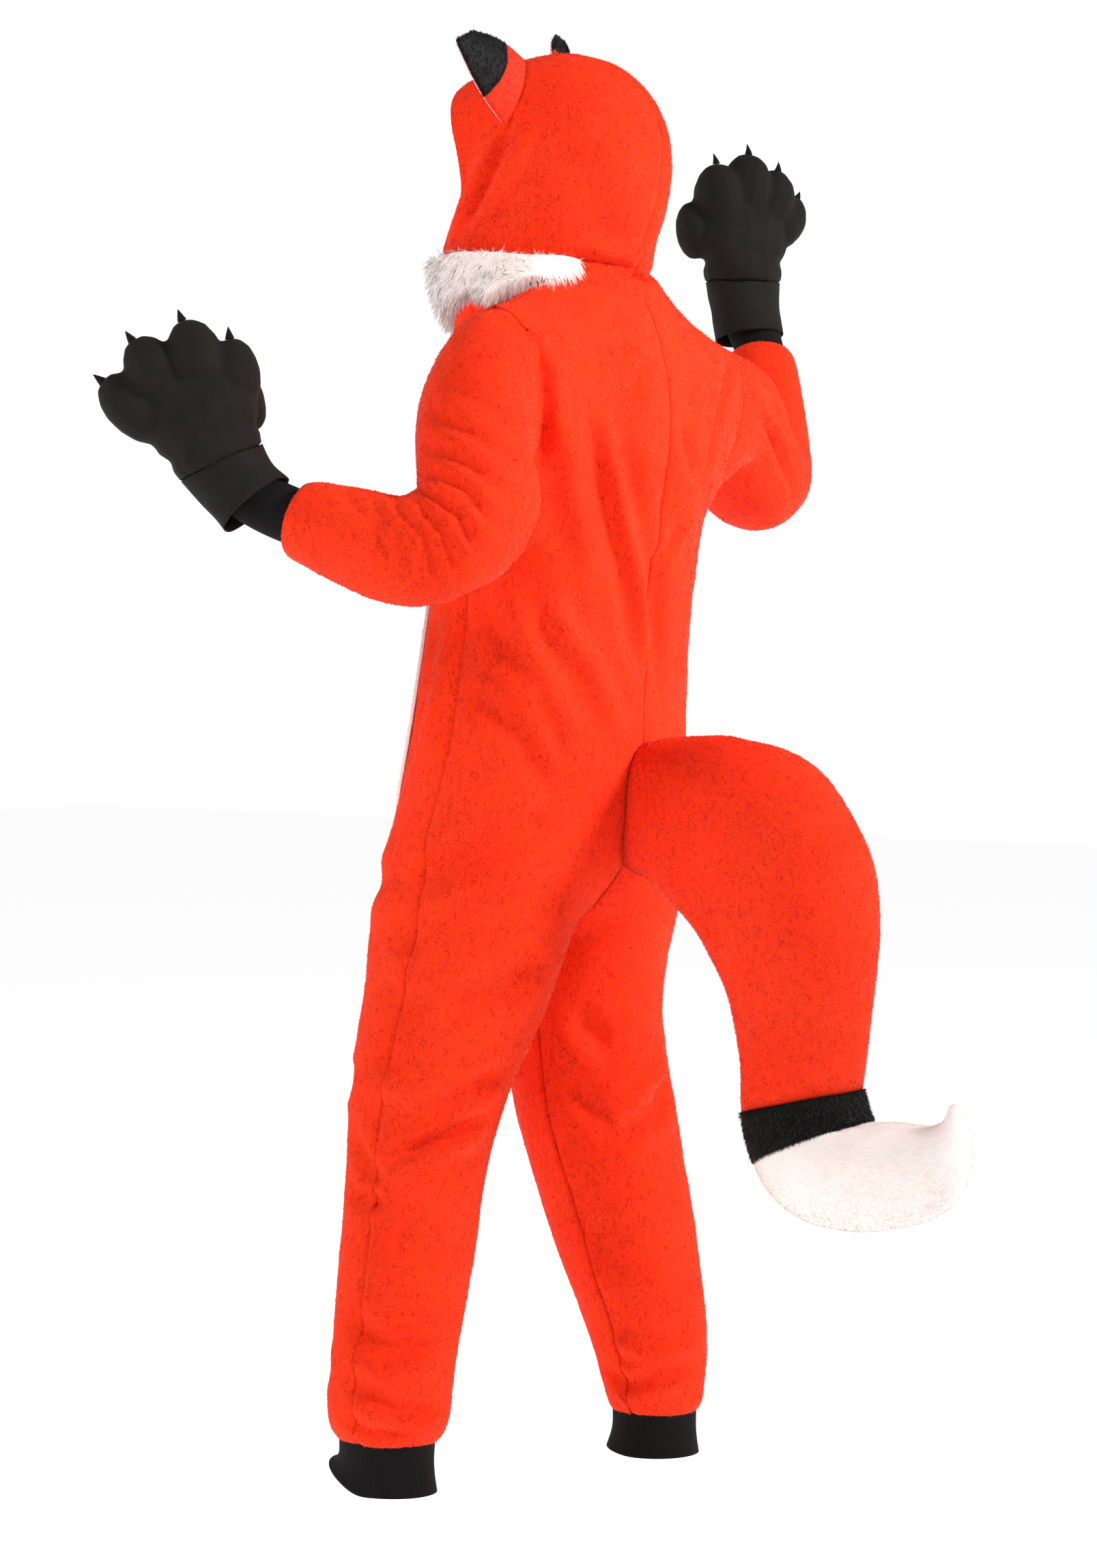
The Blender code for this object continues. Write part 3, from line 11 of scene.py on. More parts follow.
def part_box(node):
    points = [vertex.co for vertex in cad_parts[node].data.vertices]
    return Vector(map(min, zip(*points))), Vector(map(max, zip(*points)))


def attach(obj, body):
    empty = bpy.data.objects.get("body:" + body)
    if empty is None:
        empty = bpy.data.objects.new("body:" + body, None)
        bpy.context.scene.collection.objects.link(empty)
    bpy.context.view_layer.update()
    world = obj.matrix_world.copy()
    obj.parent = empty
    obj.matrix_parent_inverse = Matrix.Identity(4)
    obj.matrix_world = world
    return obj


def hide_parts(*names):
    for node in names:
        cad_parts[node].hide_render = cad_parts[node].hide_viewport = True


noise.seed_set(7)       # without it noise_vector starts from the clock and no two runs agree
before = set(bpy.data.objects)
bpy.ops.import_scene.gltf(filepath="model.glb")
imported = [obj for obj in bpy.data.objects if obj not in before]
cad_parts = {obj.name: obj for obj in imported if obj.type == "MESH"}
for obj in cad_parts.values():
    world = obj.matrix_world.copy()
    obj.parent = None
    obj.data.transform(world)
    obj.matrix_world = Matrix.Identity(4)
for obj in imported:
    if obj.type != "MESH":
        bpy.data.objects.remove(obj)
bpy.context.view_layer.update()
mm = 0.001
scene = bpy.context.scene
sides = ("left", "right")
print("frame loaded:", len(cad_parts), "nodes")

# The picture is 1607 x 2296; the camera stands behind the costume's left shoulder.
camera = {
    "place": (4.0451, 2.9389, -0.35),
    "azimuth": 54.0,       # degrees round from straight behind
    "yaw": -0.664,
    "pitch": -2.6626,
    "lens": 96.3,          # mm on a 36 mm high frame
    "picture": (1607, 2296),
}


def cameraAxes():
    round_, yaw, pitch = (math.radians(camera[k]) for k in ("azimuth", "yaw", "pitch"))
    level = Vector((-math.sin(round_), -math.cos(round_), 0))
    right = Vector((-math.cos(round_), math.sin(round_), 0))
    ahead = level * math.cos(yaw) + right * math.sin(yaw)
    right = right * math.cos(yaw) - level * math.sin(yaw)
    up = Vector((0, 0, 1))
    over = up * math.cos(pitch) - ahead * math.sin(pitch)
    return right, over, ahead * math.cos(pitch) + up * math.sin(pitch)


def addCamera():
    data = bpy.data.cameras.new("camera")
    data.sensor_fit, data.sensor_height, data.lens = "VERTICAL", 36, camera["lens"]
    data.clip_end = 60
    eye = bpy.data.objects.new("camera", data)
    right, up, ahead = cameraAxes()
    turn = Matrix((right, up, -ahead)).transposed()
    eye.matrix_world = Matrix.Translation(camera["place"]) @ turn.to_4x4()
    scene.collection.objects.link(eye)
    scene.camera = eye


def pixelRay(u, v):
    # the direction in which a pixel of the picture looks
    right, up, ahead = cameraAxes()
    wide, high = camera["picture"]
    pixelsPerMm = high / 36
    length = camera["lens"] * pixelsPerMm
    return (ahead + right * (u - wide / 2) / length - up * (v - high / 2) / length).normalized()


addCamera()


def hexColour(text):
    channels = [int(text[i:i + 2], 16) / 255 for i in (1, 3, 5)]
    return tuple(c / 12.92 if c <= 0.04045 else ((c + 0.055) / 1.055) ** 2.4 for c in channels) + (1.0,)


def addNode(tree, kind, settings=None, links=None):
    node = tree.nodes.new(kind)
    for key, value in (settings or {}).items():
        if isinstance(key, str) and hasattr(node, key):
            setattr(node, key, value)
        else:
            node.inputs[key].default_value = value
    for key, socket in (links or {}).items():
        tree.links.new(socket, node.inputs[key])
    return node


def newMaterial(name, roughness, extra=None):
    made = bpy.data.materials.new(name)
    made.use_nodes = True
    shader = made.node_tree.nodes["Principled BSDF"]
    shader.inputs["Roughness"].default_value = roughness
    for key, value in (extra or {}).items():
        shader.inputs[key].default_value = value
    return made, made.node_tree, shader


def objectMm(tree):
    # the object's own coordinates in millimetres
    place = addNode(tree, "ShaderNodeTexCoord")
    return addNode(tree, "ShaderNodeVectorMath", {"operation": "SCALE", "Scale": 1 / mm},
                   {0: place.outputs["Object"]}).outputs[0]


def slowTone(tree, vector, sizeMm, detail, low=0.35, high=0.65):
    clouds = addNode(tree, "ShaderNodeTexNoise", {"Scale": 1 / sizeMm, "Detail": detail}, {"Vector": vector})
    return addNode(tree, "ShaderNodeMapRange", {"From Min": low, "From Max": high},
                   {"Value": clouds.outputs["Fac"]}).outputs[0]


def mixed(tree, amount, first, second):
    # first and second are hex colours or sockets
    node = addNode(tree, "ShaderNodeMix", {"data_type": "RGBA"}, {0: amount})
    for index, value in ((6, first), (7, second)):
        if isinstance(value, str):
            node.inputs[index].default_value = hexColour(value)
        else:
            tree.links.new(value, node.inputs[index])
    return node.outputs[2]


def pileMaterial(name, look):
    # Short knitted pile: tufts about 2 mm wide that lean together and part in short lines. The hollows
    # between the tufts and the partings get painted shade.
    made, tree, shader = newMaterial(name, look["roughness"], {
        "Sheen Weight": look["sheen"], "Sheen Roughness": 0.45, "Sheen Tint": hexColour(look["sheenColour"]),
        "Specular IOR Level": 0.15})
    inMm = objectMm(tree)
    swirl = addNode(tree, "ShaderNodeTexNoise", {"Scale": 1 / look["swirlMm"], "Detail": 1.0},
                    {"Vector": inMm})
    pushed = addNode(tree, "ShaderNodeVectorMath", {"operation": "MULTIPLY_ADD", 1: (look["swirlPush"],) * 3},
                     {0: swirl.outputs["Color"], 2: inMm})
    combed = addNode(tree, "ShaderNodeVectorMath", {"operation": "MULTIPLY", 1: look["comb"]},
                     {0: pushed.outputs[0]})
    # a parting is where a noise crosses its middle value, which draws thin curved lines
    lines = addNode(tree, "ShaderNodeTexNoise",
                    {"Scale": 1 / look["partingMm"], "Detail": 1.5, "Roughness": 0.5, "Distortion": 0.5},
                    {"Vector": combed.outputs[0]})
    offLine = addNode(tree, "ShaderNodeMath", {"operation": "SUBTRACT", 1: 0.5}, {0: lines.outputs["Fac"]})
    distance = addNode(tree, "ShaderNodeMath", {"operation": "ABSOLUTE"}, {0: offLine.outputs[0]})
    thin = addNode(tree, "ShaderNodeMapRange",
                   {"interpolation_type": "SMOOTHSTEP", "From Min": 0.0, "From Max": look["partingWidth"],
                    "To Min": 1.0, "To Max": 0.0}, {"Value": distance.outputs[0]})
    patches = addNode(tree, "ShaderNodeTexNoise", {"Scale": 1 / (1.8 * look["partingMm"]), "Detail": 2.0},
                      {"Vector": combed.outputs[0]})
    broken = addNode(tree, "ShaderNodeMapRange", {"interpolation_type": "SMOOTHSTEP", "From Min": 0.47,
                     "From Max": 0.60, "To Min": 0.0, "To Max": 1.0}, {"Value": patches.outputs["Fac"]})
    shadedParting = addNode(tree, "ShaderNodeMath", {"operation": "MULTIPLY"},
                      {0: thin.outputs[0], 1: broken.outputs[0]})
    tufts = addNode(tree, "ShaderNodeTexNoise",
                    {"Scale": 1 / look["tuftMm"], "Detail": 2.5, "Roughness": 0.55, "Distortion": 0.4},
                    {"Vector": combed.outputs[0]})
    base = mixed(tree, slowTone(tree, inMm, look["toneMm"], 2.0), look["colour"], look["second"])
    # painted shade: where the tuft noise is low, in the hollows of the bump, the colour darkens toward the
    # shade colour
    low = addNode(tree, "ShaderNodeMapRange", {"From Min": 0.52, "From Max": 0.30, "To Min": 0.0,
                  "To Max": look["tuftShade"]}, {"Value": tufts.outputs["Fac"]})
    shaded = mixed(tree, low.outputs[0], base, look["shade"])
    # painted shade in the partings, which are also the troughs of the bump
    partingShadeAmount = addNode(tree, "ShaderNodeMath", {"operation": "MULTIPLY", 1: look["partingShade"]},
                       {0: shadedParting.outputs[0]})
    coloured = mixed(tree, partingShadeAmount.outputs[0], shaded, look["shadedParting"])
    tree.links.new(coloured, shader.inputs["Base Color"])
    height = addNode(tree, "ShaderNodeMath", {"operation": "MULTIPLY_ADD", 1: -0.9},
                     {0: shadedParting.outputs[0], 2: tufts.outputs["Fac"]})
    bump = addNode(tree, "ShaderNodeBump", {"Strength": look["bump"], "Distance": look["pileMm"] * mm},
                   {"Height": height.outputs[0]})
    tree.links.new(bump.outputs[0], shader.inputs["Normal"])
    return made


def strandMaterial(name, look):
    # Single hairs and pile ends, with painted shade that darkens them where they leave the backing.
    # A few blades picked at random, more of them in some patches, get painted shade as short dark ticks.
    made, tree, shader = newMaterial(name, 0.7, {
        "Sheen Weight": look["sheen"], "Sheen Roughness": 0.6, "Sheen Tint": hexColour(look["gloss"]),
        "Specular IOR Level": 0.35})
    along, chance = (addNode(tree, "ShaderNodeAttribute", {"attribute_name": n}).outputs["Fac"]
                     for n in ("along", "chance"))
    place = addNode(tree, "ShaderNodeTexCoord").outputs["Object"]
    tone = slowTone(tree, place, look["clumpMm"] * mm, 2.0, 0.4, 0.62)
    tip = mixed(tree, tone, look["tip"], look["second"])
    # painted shade: each blade darkens from its tip down to its root at the backing
    whole = mixed(tree, along, look["root"], tip)
    # painted shade: blades whose chance passes a limit, which is lower in some patches, are coloured dark as
    # short ticks
    patches = addNode(tree, "ShaderNodeTexNoise", {"Scale": 1 / (look["patchMm"] * mm), "Detail": 2.0},
                      {"Vector": place})
    limit = addNode(tree, "ShaderNodeMapRange", {"From Min": 0.35, "From Max": 0.65, "To Min": 1.0,
                    "To Max": 1 - 2 * look["ticks"]}, {"Value": patches.outputs["Fac"]})
    tickShadeMask = addNode(tree, "ShaderNodeMath", {"operation": "GREATER_THAN"}, {0: chance, 1: limit.outputs[0]})
    tree.links.new(mixed(tree, tickShadeMask.outputs[0], whole, look["tickShade"]), shader.inputs["Base Color"])
    return made


def knitMaterial(name, look):
    # Fine knit: rows of loops too small to see singly, with lint and a faint tone from the light they trap.
    made, tree, shader = newMaterial(name, look["roughness"], {
        "Sheen Weight": look["sheen"], "Sheen Roughness": 0.5, "Sheen Tint": hexColour(look["lint"]),
        "Specular IOR Level": 0.25})
    inMm = objectMm(tree)
    loops = addNode(tree, "ShaderNodeTexVoronoi", {"Scale": 1 / look["loopMm"]}, {"Vector": inMm})
    base = mixed(tree, slowTone(tree, inMm, 25, 4.0), look["colour"], look["second"])
    tree.links.new(base, shader.inputs["Base Color"])
    height = loops.outputs["Distance"]
    if "ribs" in look:
        # ribs run along the cuff; the angle round it comes from two attributes of the mesh
        ring = addNode(tree, "ShaderNodeAttribute", {"attribute_name": "ring"})
        parts = addNode(tree, "ShaderNodeSeparateXYZ", links={0: ring.outputs["Vector"]})
        angle = addNode(tree, "ShaderNodeMath", {"operation": "ARCTAN2"},
                        {0: parts.outputs["Y"], 1: parts.outputs["X"]})
        turns = addNode(tree, "ShaderNodeMath", {"operation": "MULTIPLY", 1: look["ribs"]},
                        {0: angle.outputs[0]})
        wave = addNode(tree, "ShaderNodeMath", {"operation": "SINE"}, {0: turns.outputs[0]})
        height = addNode(tree, "ShaderNodeMath", {"operation": "MULTIPLY_ADD", 1: 0.9},
                         {0: wave.outputs[0], 2: loops.outputs["Distance"]}).outputs[0]
    bump = addNode(tree, "ShaderNodeBump", {"Strength": look["bump"], "Distance": look["reliefMm"] * mm},
                   {"Height": height})
    tree.links.new(bump.outputs[0], shader.inputs["Normal"])
    return made


def metalMaterial(name):
    # Nickel plated zinc, die cast and tumbled: bright with fine scuffs.
    made, tree, shader = newMaterial(name, 0.3, {"Metallic": 1.0, "Base Color": hexColour("#B9B6AE")})
    place = addNode(tree, "ShaderNodeTexCoord")
    scuffs = addNode(tree, "ShaderNodeTexNoise", {"Scale": 1 / (0.6 * mm), "Detail": 3.0},
                     {"Vector": place.outputs["Object"]})
    dull = addNode(tree, "ShaderNodeMapRange", {"To Min": 0.22, "To Max": 0.45},
                   {"Value": scuffs.outputs["Fac"]})
    tree.links.new(dull.outputs[0], shader.inputs["Roughness"])
    return made


orangeLook = {
    "colour": "#FC3A14", "second": "#F8330E", "shade": "#E42604", "shadedParting": "#B81600",
    "sheenColour": "#FF8A68", "sheen": 0.12, "roughness": 0.95,
    "toneMm": 90, "swirlMm": 60, "swirlPush": 26, "comb": (1, 1, 0.6), "partingMm": 4.2, "partingWidth": 0.05,
    "tuftMm": 2.2, "tuftShade": 0.5, "partingShade": 0.75, "bump": 0.4, "pileMm": 1.8,
}
whiteLook = dict(orangeLook, colour="#FDF8F5", second="#FBF1EC", shade="#F3E6DF", shadedParting="#EBD6CC",
                 sheenColour="#FFFFFF", partingShade=0.2, tuftShade=0.25, bump=0.15)
blackLook = dict(orangeLook, colour="#0E0C0B", second="#0A0908", shade="#070605", shadedParting="#040303",
                 sheenColour="#4E4842", sheen=0.05, partingShade=0.5)
pinkLook = dict(orangeLook, colour="#F9C6D3", second="#F4B5C6", shade="#E79AB0", shadedParting="#D4849C",
                sheenColour="#FFE8EE", partingShade=0.3, bump=0.3)

orangePlush = pileMaterial("orange_coral_fleece", orangeLook)        # warp knitted polyester, sheared to 4 mm
whitePlush = pileMaterial("white_coral_fleece", whiteLook)
blackFleece = pileMaterial("black_short_fur", blackLook)
pinkFleece = pileMaterial("pink_fleece", pinkLook)
orangeStrands = strandMaterial("orange_pile_ends", {
    "root": "#EC2806", "tip": "#FC4018", "second": "#F4300C", "clumpMm": 5,
    "tickShade": "#C01800", "ticks": 0.26, "patchMm": 55, "sheen": 0.3, "gloss": "#FFB496"})
whiteStrands = strandMaterial("white_fur_hairs", {
    "root": "#F8EEE9", "tip": "#FFFDFB", "second": "#FDF6F3", "clumpMm": 14,
    "tickShade": "#F3DFD7", "ticks": 0.1, "patchMm": 30, "sheen": 0.1, "gloss": "#FFFFFF"})
blackStrands = strandMaterial("black_fur_hairs", {
    "root": "#080706", "tip": "#151211", "second": "#0D0B0A", "clumpMm": 6,
    "tickShade": "#050404", "ticks": 0.1, "patchMm": 30, "sheen": 0.05, "gloss": "#5A5450"})
backing = knitMaterial("orange_knit_backing", {"colour": "#E0441C", "second": "#D63C16", "lint": "#FF8A60",
                       "roughness": 0.9, "sheen": 0.1, "loopMm": 1.2, "bump": 0.3, "reliefMm": 0.4})
jersey = knitMaterial("black_brushed_jersey", {"colour": "#1B1815", "second": "#151311", "lint": "#7A7068",
                      "roughness": 0.9, "sheen": 0.06, "loopMm": 0.9, "bump": 0.25, "reliefMm": 0.3})
ribKnit = knitMaterial("black_rib_knit", {"colour": "#0C0A0A", "second": "#080707", "lint": "#4A4642",
                       "roughness": 0.94, "sheen": 0.04, "loopMm": 1.0, "bump": 0.35, "reliefMm": 0.5,
                       "ribs": 62})
felt = knitMaterial("black_felt", {"colour": "#151312", "second": "#100E0D", "lint": "#6E665E",
                    "roughness": 0.95, "sheen": 0.15, "loopMm": 1.6, "bump": 0.4, "reliefMm": 0.4})
tapeWeave = knitMaterial("black_woven_tape", {"colour": "#121010", "second": "#0D0C0C", "lint": "#4A4642",
                         "roughness": 0.85, "sheen": 0.05, "loopMm": 0.8, "bump": 0.5, "reliefMm": 0.3})
plating = metalMaterial("nickel_plated_zinc")
print("materials made")


outerFaces, rimFaces = 0, 2      # material slots of a cloth piece; its inner side has slot 1


def copyNode(node, name):
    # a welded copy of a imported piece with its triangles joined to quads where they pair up
    mesh = bpy.data.meshes.new(name)
    edit = bmesh.new()
    edit.from_mesh(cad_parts[node].data)
    bmesh.ops.remove_doubles(edit, verts=edit.verts, dist=0.02 * mm)
    bmesh.ops.join_triangles(edit, faces=edit.faces, angle_face_threshold=math.radians(40),
                             angle_shape_threshold=math.radians(75))
    edit.to_mesh(mesh)
    edit.free()
    made = bpy.data.objects.new(name, mesh)
    scene.collection.objects.link(made)
    return made


def markLayers(piece, sharp=52):
    # parts the wall's faces into its outer side, its inner side and the rim, and keeps the rim's edges crisp
    edit = bmesh.new()
    edit.from_mesh(piece.data)
    crease = edit.edges.layers.float.new("crease_edge")
    limit = math.radians(sharp)
    isSharp = {e for e in edit.edges if len(e.link_faces) == 2 and e.calc_face_angle(0) > limit}
    for edge in isSharp:
        edge[crease] = 1.0
    groups, seen = [], set()
    for face in edit.faces:
        if face in seen:
            continue
        seen.add(face)
        group, waiting = [], [face]
        while waiting:
            here = waiting.pop()
            group.append(here)
            for edge in here.edges:
                if edge in isSharp:
                    continue
                for other in edge.link_faces:
                    if other not in seen:
                        seen.add(other)
                        waiting.append(other)
        groups.append(group)
    groups.sort(key=lambda g: -sum(f.calc_area() for f in g))
    for i, group in enumerate(groups):
        for face in group:
            face.material_index = min(i, rimFaces)
            face.smooth = True
    edit.to_mesh(piece.data)
    edit.free()


def subdivide(piece, levels):
    change = piece.modifiers.new("subdivide", "SUBSURF")
    change.levels = change.render_levels = levels
    applyModifiers(piece)


def applyModifiers(piece):
    made = bpy.data.meshes.new_from_object(piece.evaluated_get(bpy.context.evaluated_depsgraph_get()))
    piece.modifiers.clear()
    old, made.name = piece.data, piece.data.name
    piece.data = made
    bpy.data.meshes.remove(old)


def points(piece):
    found = np.empty(len(piece.data.vertices) * 3, np.float32)
    piece.data.vertices.foreach_get("co", found)
    return found.reshape(-1, 3).astype(float)


def setPoints(piece, places):
    piece.data.vertices.foreach_set("co", places.astype(np.float32).ravel())
    piece.data.update()


def normalsOf(piece):
    found = np.empty(len(piece.data.vertices) * 3, np.float32)
    piece.data.vertices.foreach_get("normal", found)
    return found.reshape(-1, 3)


def unit(rows):
    return rows / np.maximum(np.linalg.norm(rows, axis=-1, keepdims=True), 1e-12)


def giveMaterials(piece, *materials):
    piece.data.materials.clear()
    for made in materials:
        piece.data.materials.append(made)


def finishPiece(piece, nodes, body="garment"):
    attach(piece, body)
    if nodes:
        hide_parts(*nodes)


# Every plush panel: subdivisions and the cut's flat size (width, length in metres) and area
panels = {
    "back_left": {"levels": 3, "flat": (0.36, 1.46), "area": 0.40},
    "back_right": {"levels": 3, "flat": (0.36, 1.46), "area": 0.40},
    "front_left": {"levels": 2, "flat": (0.36, 1.45), "area": 0.40},
    "front_right": {"levels": 2, "flat": (0.36, 1.45), "area": 0.40},
    "sleeve_left": {"levels": 2, "flat": (0.50, 0.62), "area": 0.21},
    "sleeve_right": {"levels": 2, "flat": (0.50, 0.62), "area": 0.22},
    "hood_left": {"levels": 3, "flat": (0.33, 0.36), "area": 0.09},
    "hood_right": {"levels": 3, "flat": (0.33, 0.36), "area": 0.09},
}

# Folds that show in the picture: the line's pixels, half width and depth in mm, negative for a trough
creases = (
    # back, from the shoulder blades to the waist
    (((865, 590), (880, 700), (910, 830), (930, 970)), 13, -7.6),
    (((820, 595), (840, 730), (870, 855)), 14, 6.5),
    (((905, 605), (935, 740), (960, 855), (965, 1030)), 13, -6.5),
    (((885, 620), (908, 740), (936, 870), (950, 1010)), 9, 5.5),
    (((760, 795), (810, 930), (880, 1045)), 18, -13.1),
    (((742, 850), (775, 960), (830, 1075)), 14, 7.6),
    (((800, 880), (870, 980), (910, 1075)), 14, 8.8),
    (((1000, 625), (1020, 700)), 10, -5.5),
    (((985, 800), (1018, 755)), 9, 7.6),
    (((960, 830), (1000, 770)), 9, -7.6),
    (((905, 500), (955, 545)), 10, -5.5),
    (((715, 905), (790, 1000), (830, 1120)), 12, -6.5),
    (((690, 1010), (760, 1080), (800, 1150)), 14, -6.5),
    # seat and thighs
    (((600, 1290), (700, 1250), (820, 1190)), 18, -9.9),
    (((620, 1335), (720, 1290), (850, 1240)), 18, 7.6),
    (((640, 1480), (745, 1445), (790, 1400)), 16, -11.0),
    (((560, 1400), (640, 1440), (720, 1420)), 18, 6.5),
    # left knee and calf
    (((615, 1620), (700, 1588), (745, 1566)), 11, -12.0),
    (((580, 1692), (640, 1667), (717, 1632)), 7, -14.2),
    (((575, 1715), (640, 1690), (705, 1668)), 9, 8.8),
    (((516, 1655), (540, 1712), (562, 1741)), 9, -8.8),
    (((505, 1742), (530, 1752), (562, 1762)), 9, -13.1),
    (((540, 1580), (600, 1600), (660, 1598)), 14, 7.6),
    (((560, 1800), (620, 1840), (690, 1820)), 16, -5.5),
    (((505, 1930), (585, 1975), (640, 1965)), 12, -9.9),
    (((528, 2030), (585, 2066), (640, 2060)), 9, -9.9),
    (((510, 1990), (560, 2015), (640, 2010)), 11, 7.6),
    (((500, 2075), (540, 2096), (600, 2100)), 8, -7.6),
    # right knee and calf
    (((838, 1482), (895, 1540), (965, 1522)), 15, -11.0),
    (((907, 1655), (965, 1626), (982, 1575)), 13, -12.0),
    (((826, 1580), (872, 1632), (907, 1661)), 12, -7.6),
    (((880, 1590), (930, 1600), (975, 1560)), 12, 7.6),
    (((860, 1780), (900, 1850), (960, 1860)), 16, -6.5),
    (((884, 2000), (918, 2029), (1022, 2004)), 9, -8.8),
    (((890, 1960), (950, 1985), (1020, 1968)), 10, 6.5),
    # left sleeve: the elbow's fan of creases and the forearm
    (((497, 712), (545, 765), (580, 830)), 8, -7.6),
    (((535, 722), (585, 780), (612, 850)), 8, -8.8),
    (((570, 728), (622, 785), (645, 856)), 7, -9.9),
    (((598, 722), (650, 778), (675, 848)), 7, -9.9),
    (((608, 706), (672, 752), (704, 815)), 7, -9.9),
    (((608, 680), (684, 715), (727, 775)), 7, -8.8),
    (((608, 640), (690, 680), (748, 730)), 8, -7.6),
    (((620, 590), (700, 640), (765, 680)), 9, -6.5),
    (((650, 560), (720, 600), (775, 640)), 10, -4.4),
    # right sleeve: inner elbow
    (((1090, 560), (1130, 625), (1152, 700)), 7, -7.6),
    (((1108, 600), (1146, 660), (1165, 730)), 6, -7.6),
    (((1130, 590), (1162, 650), (1178, 700)), 6, -7.6),
    (((1085, 535), (1120, 560), (1160, 575)), 7, -6.5),
    (((1020, 690), (1060, 740), (1100, 765)), 12, -5.5),
    # the armhole seams
    (((725, 455), (775, 495), (797, 540), (800, 580), (795, 640), (782, 700), (768, 740), (740, 800),
      (715, 855)), 9, -8.8),
    (((1068, 500), (1062, 560), (1052, 620), (1034, 700)), 9, -7.5),
    # hood: the fold behind the brow, and the nape
    (((748, 180), (730, 216), (712, 255), (690, 303), (672, 340)), 8, -13.8),
    (((772, 200), (752, 240), (732, 280), (706, 330)), 11, 8.8),
    (((842, 372), (880, 392), (930, 398), (962, 388)), 6, -9.9),
    (((860, 356), (900, 372), (955, 366)), 9, 6.5),
    (((915, 400), (945, 408), (975, 404)), 5, -8.8),
    (((880, 412), (920, 422), (972, 420)), 9, 6.5),
    (((800, 210), (850, 250), (880, 320)), 22, -4.4),
)
# Folds where the picture doesn't reach: two ends in mm, half width and depth
hiddenCreases = (
    ((-70, -195, -330), (-40, -205, -520), 16, -5.2),
    ((75, -195, -300), (45, -205, -480), 16, -5.2),
    ((-190, -90, -360), (-140, -150, -520), 16, -7.0),
    ((180, -110, -380), (150, -150, -560), 14, -6.1),
    ((-180, -120, -660), (-60, -205, -740), 16, -7.9),
    ((190, -120, -680), (70, -215, -750), 16, -7.9),
    ((-170, -120, -960), (-60, -160, -930), 14, -7.9),
    ((110, -200, -960), (240, -190, -925), 14, -7.9),
    ((-190, -60, -1240), (-90, -100, -1262), 10, -6.1),
    ((190, -180, -1250), (300, -170, -1268), 10, -6.1),
)
seam = {"depth": 2.2, "width": 5.0}        # the pile dips into each seam
ripple = {"size": 75, "depth": 3.0, "fineSize": 26, "fineDepth": 0.9}


def shownSkin(pieces):
    corners, faces = [], []
    for piece in pieces:
        start = len(corners)
        corners.extend(v.co.copy() for v in piece.data.vertices)
        faces.extend([start + v for v in p.vertices] for p in piece.data.polygons)
    return BVHTree.FromPolygons(corners, faces)


def creaseLines(skin):
    # each crease as a row of points on the cloth, with its half width and depth in metres
    eye = Vector(camera["place"])
    lines = []
    for pixels, width, depth in creases:
        found = []
        for (u0, v0), (u1, v1) in zip(pixels, pixels[1:]):
            steps = max(2, int(math.hypot(u1 - u0, v1 - v0) / 6))
            for i in range(steps + 1):
                t = i / steps
                hit = skin.ray_cast(eye, pixelRay(u0 + (u1 - u0) * t, v0 + (v1 - v0) * t))[0]
                if hit is not None and (not found or (hit - Vector(found[-1])).length < 0.06):
                    found.append(tuple(hit))
        if len(found) > 1:
            lines.append((np.array(found), width * mm, depth * mm))
    for a, b, width, depth in hiddenCreases:
        spots = [Vector(a) * mm + (Vector(b) - Vector(a)) * mm * i / 12 for i in range(13)]
        lines.append((np.array([tuple(skin.find_nearest(p)[0]) for p in spots]), width * mm, depth * mm))
    return lines


def creaseDepth(places, lines):
    moved = np.zeros(len(places))
    for line, width, depth in lines:
        low, high = line.min(0) - 3 * width, line.max(0) + 3 * width
        near = np.nonzero(((places > low) & (places < high)).all(1))[0]
        if not len(near):
            continue
        gaps = np.linalg.norm(places[near, None] - line[None], axis=2)
        nearest = gaps.argmin(1)
        away = gaps[np.arange(len(near)), nearest]
        ends = np.minimum(nearest, len(line) - 1 - nearest) / max(1, len(line) - 1)
        fade = np.clip(ends * 5 + 0.15, 0, 1)
        # a crease is a narrow trough with the cloth it takes up standing beside it
        shape = np.exp(-((away / width) ** 2)) - 0.28 * np.exp(-(((away - 2 * width) / width) ** 2))
        moved[near] += depth * fade * shape
    return moved


def rippleDepth(places):
    found = np.empty(len(places))
    for i, (x, y, z) in enumerate(places / mm):
        broad = noise.noise((x / ripple["size"], y / ripple["size"], z / (1.6 * ripple["size"])))
        fine = noise.noise((x / ripple["fineSize"] + 9, y / ripple["fineSize"], z / ripple["fineSize"]))
        found[i] = broad * ripple["depth"] + fine * ripple["fineDepth"]
    return found * mm


def outerData(piece):
    # centres and normals of the outer faces
    mesh = piece.data
    count = len(mesh.polygons)
    index = np.empty(count, np.int32)
    centre, normal = np.empty(count * 3, np.float32), np.empty(count * 3, np.float32)
    mesh.polygons.foreach_get("material_index", index)
    mesh.polygons.foreach_get("center", centre)
    mesh.polygons.foreach_get("normal", normal)
    outer = index == outerFaces
    return centre.reshape(-1, 3)[outer], normal.reshape(-1, 3)[outer]


def sharedNormals(pieces):
    # one smooth field of directions over all panels, so that they move alike at their seams
    centres, normals = zip(*(outerData(p) for p in pieces))
    centres, normals = np.concatenate(centres), np.concatenate(normals)
    tree = KDTree(len(centres))
    for i, centre in enumerate(centres):
        tree.insert(centre, i)
    tree.balance()
    found = {}
    for piece in pieces:
        places = points(piece)
        near = np.array([[i for _, i, _ in tree.find_n(p, 6)] for p in places])
        found[piece.name] = unit(normals[near].sum(1))
    return found


def rimDistance(piece, places):
    mesh = piece.data
    rim = {v for p in mesh.polygons if p.material_index == rimFaces for v in p.vertices}
    tree = KDTree(max(1, len(rim)))
    for v in rim:
        tree.insert(mesh.vertices[v].co, v)
    tree.balance()
    return np.array([tree.find(p)[2] for p in places])


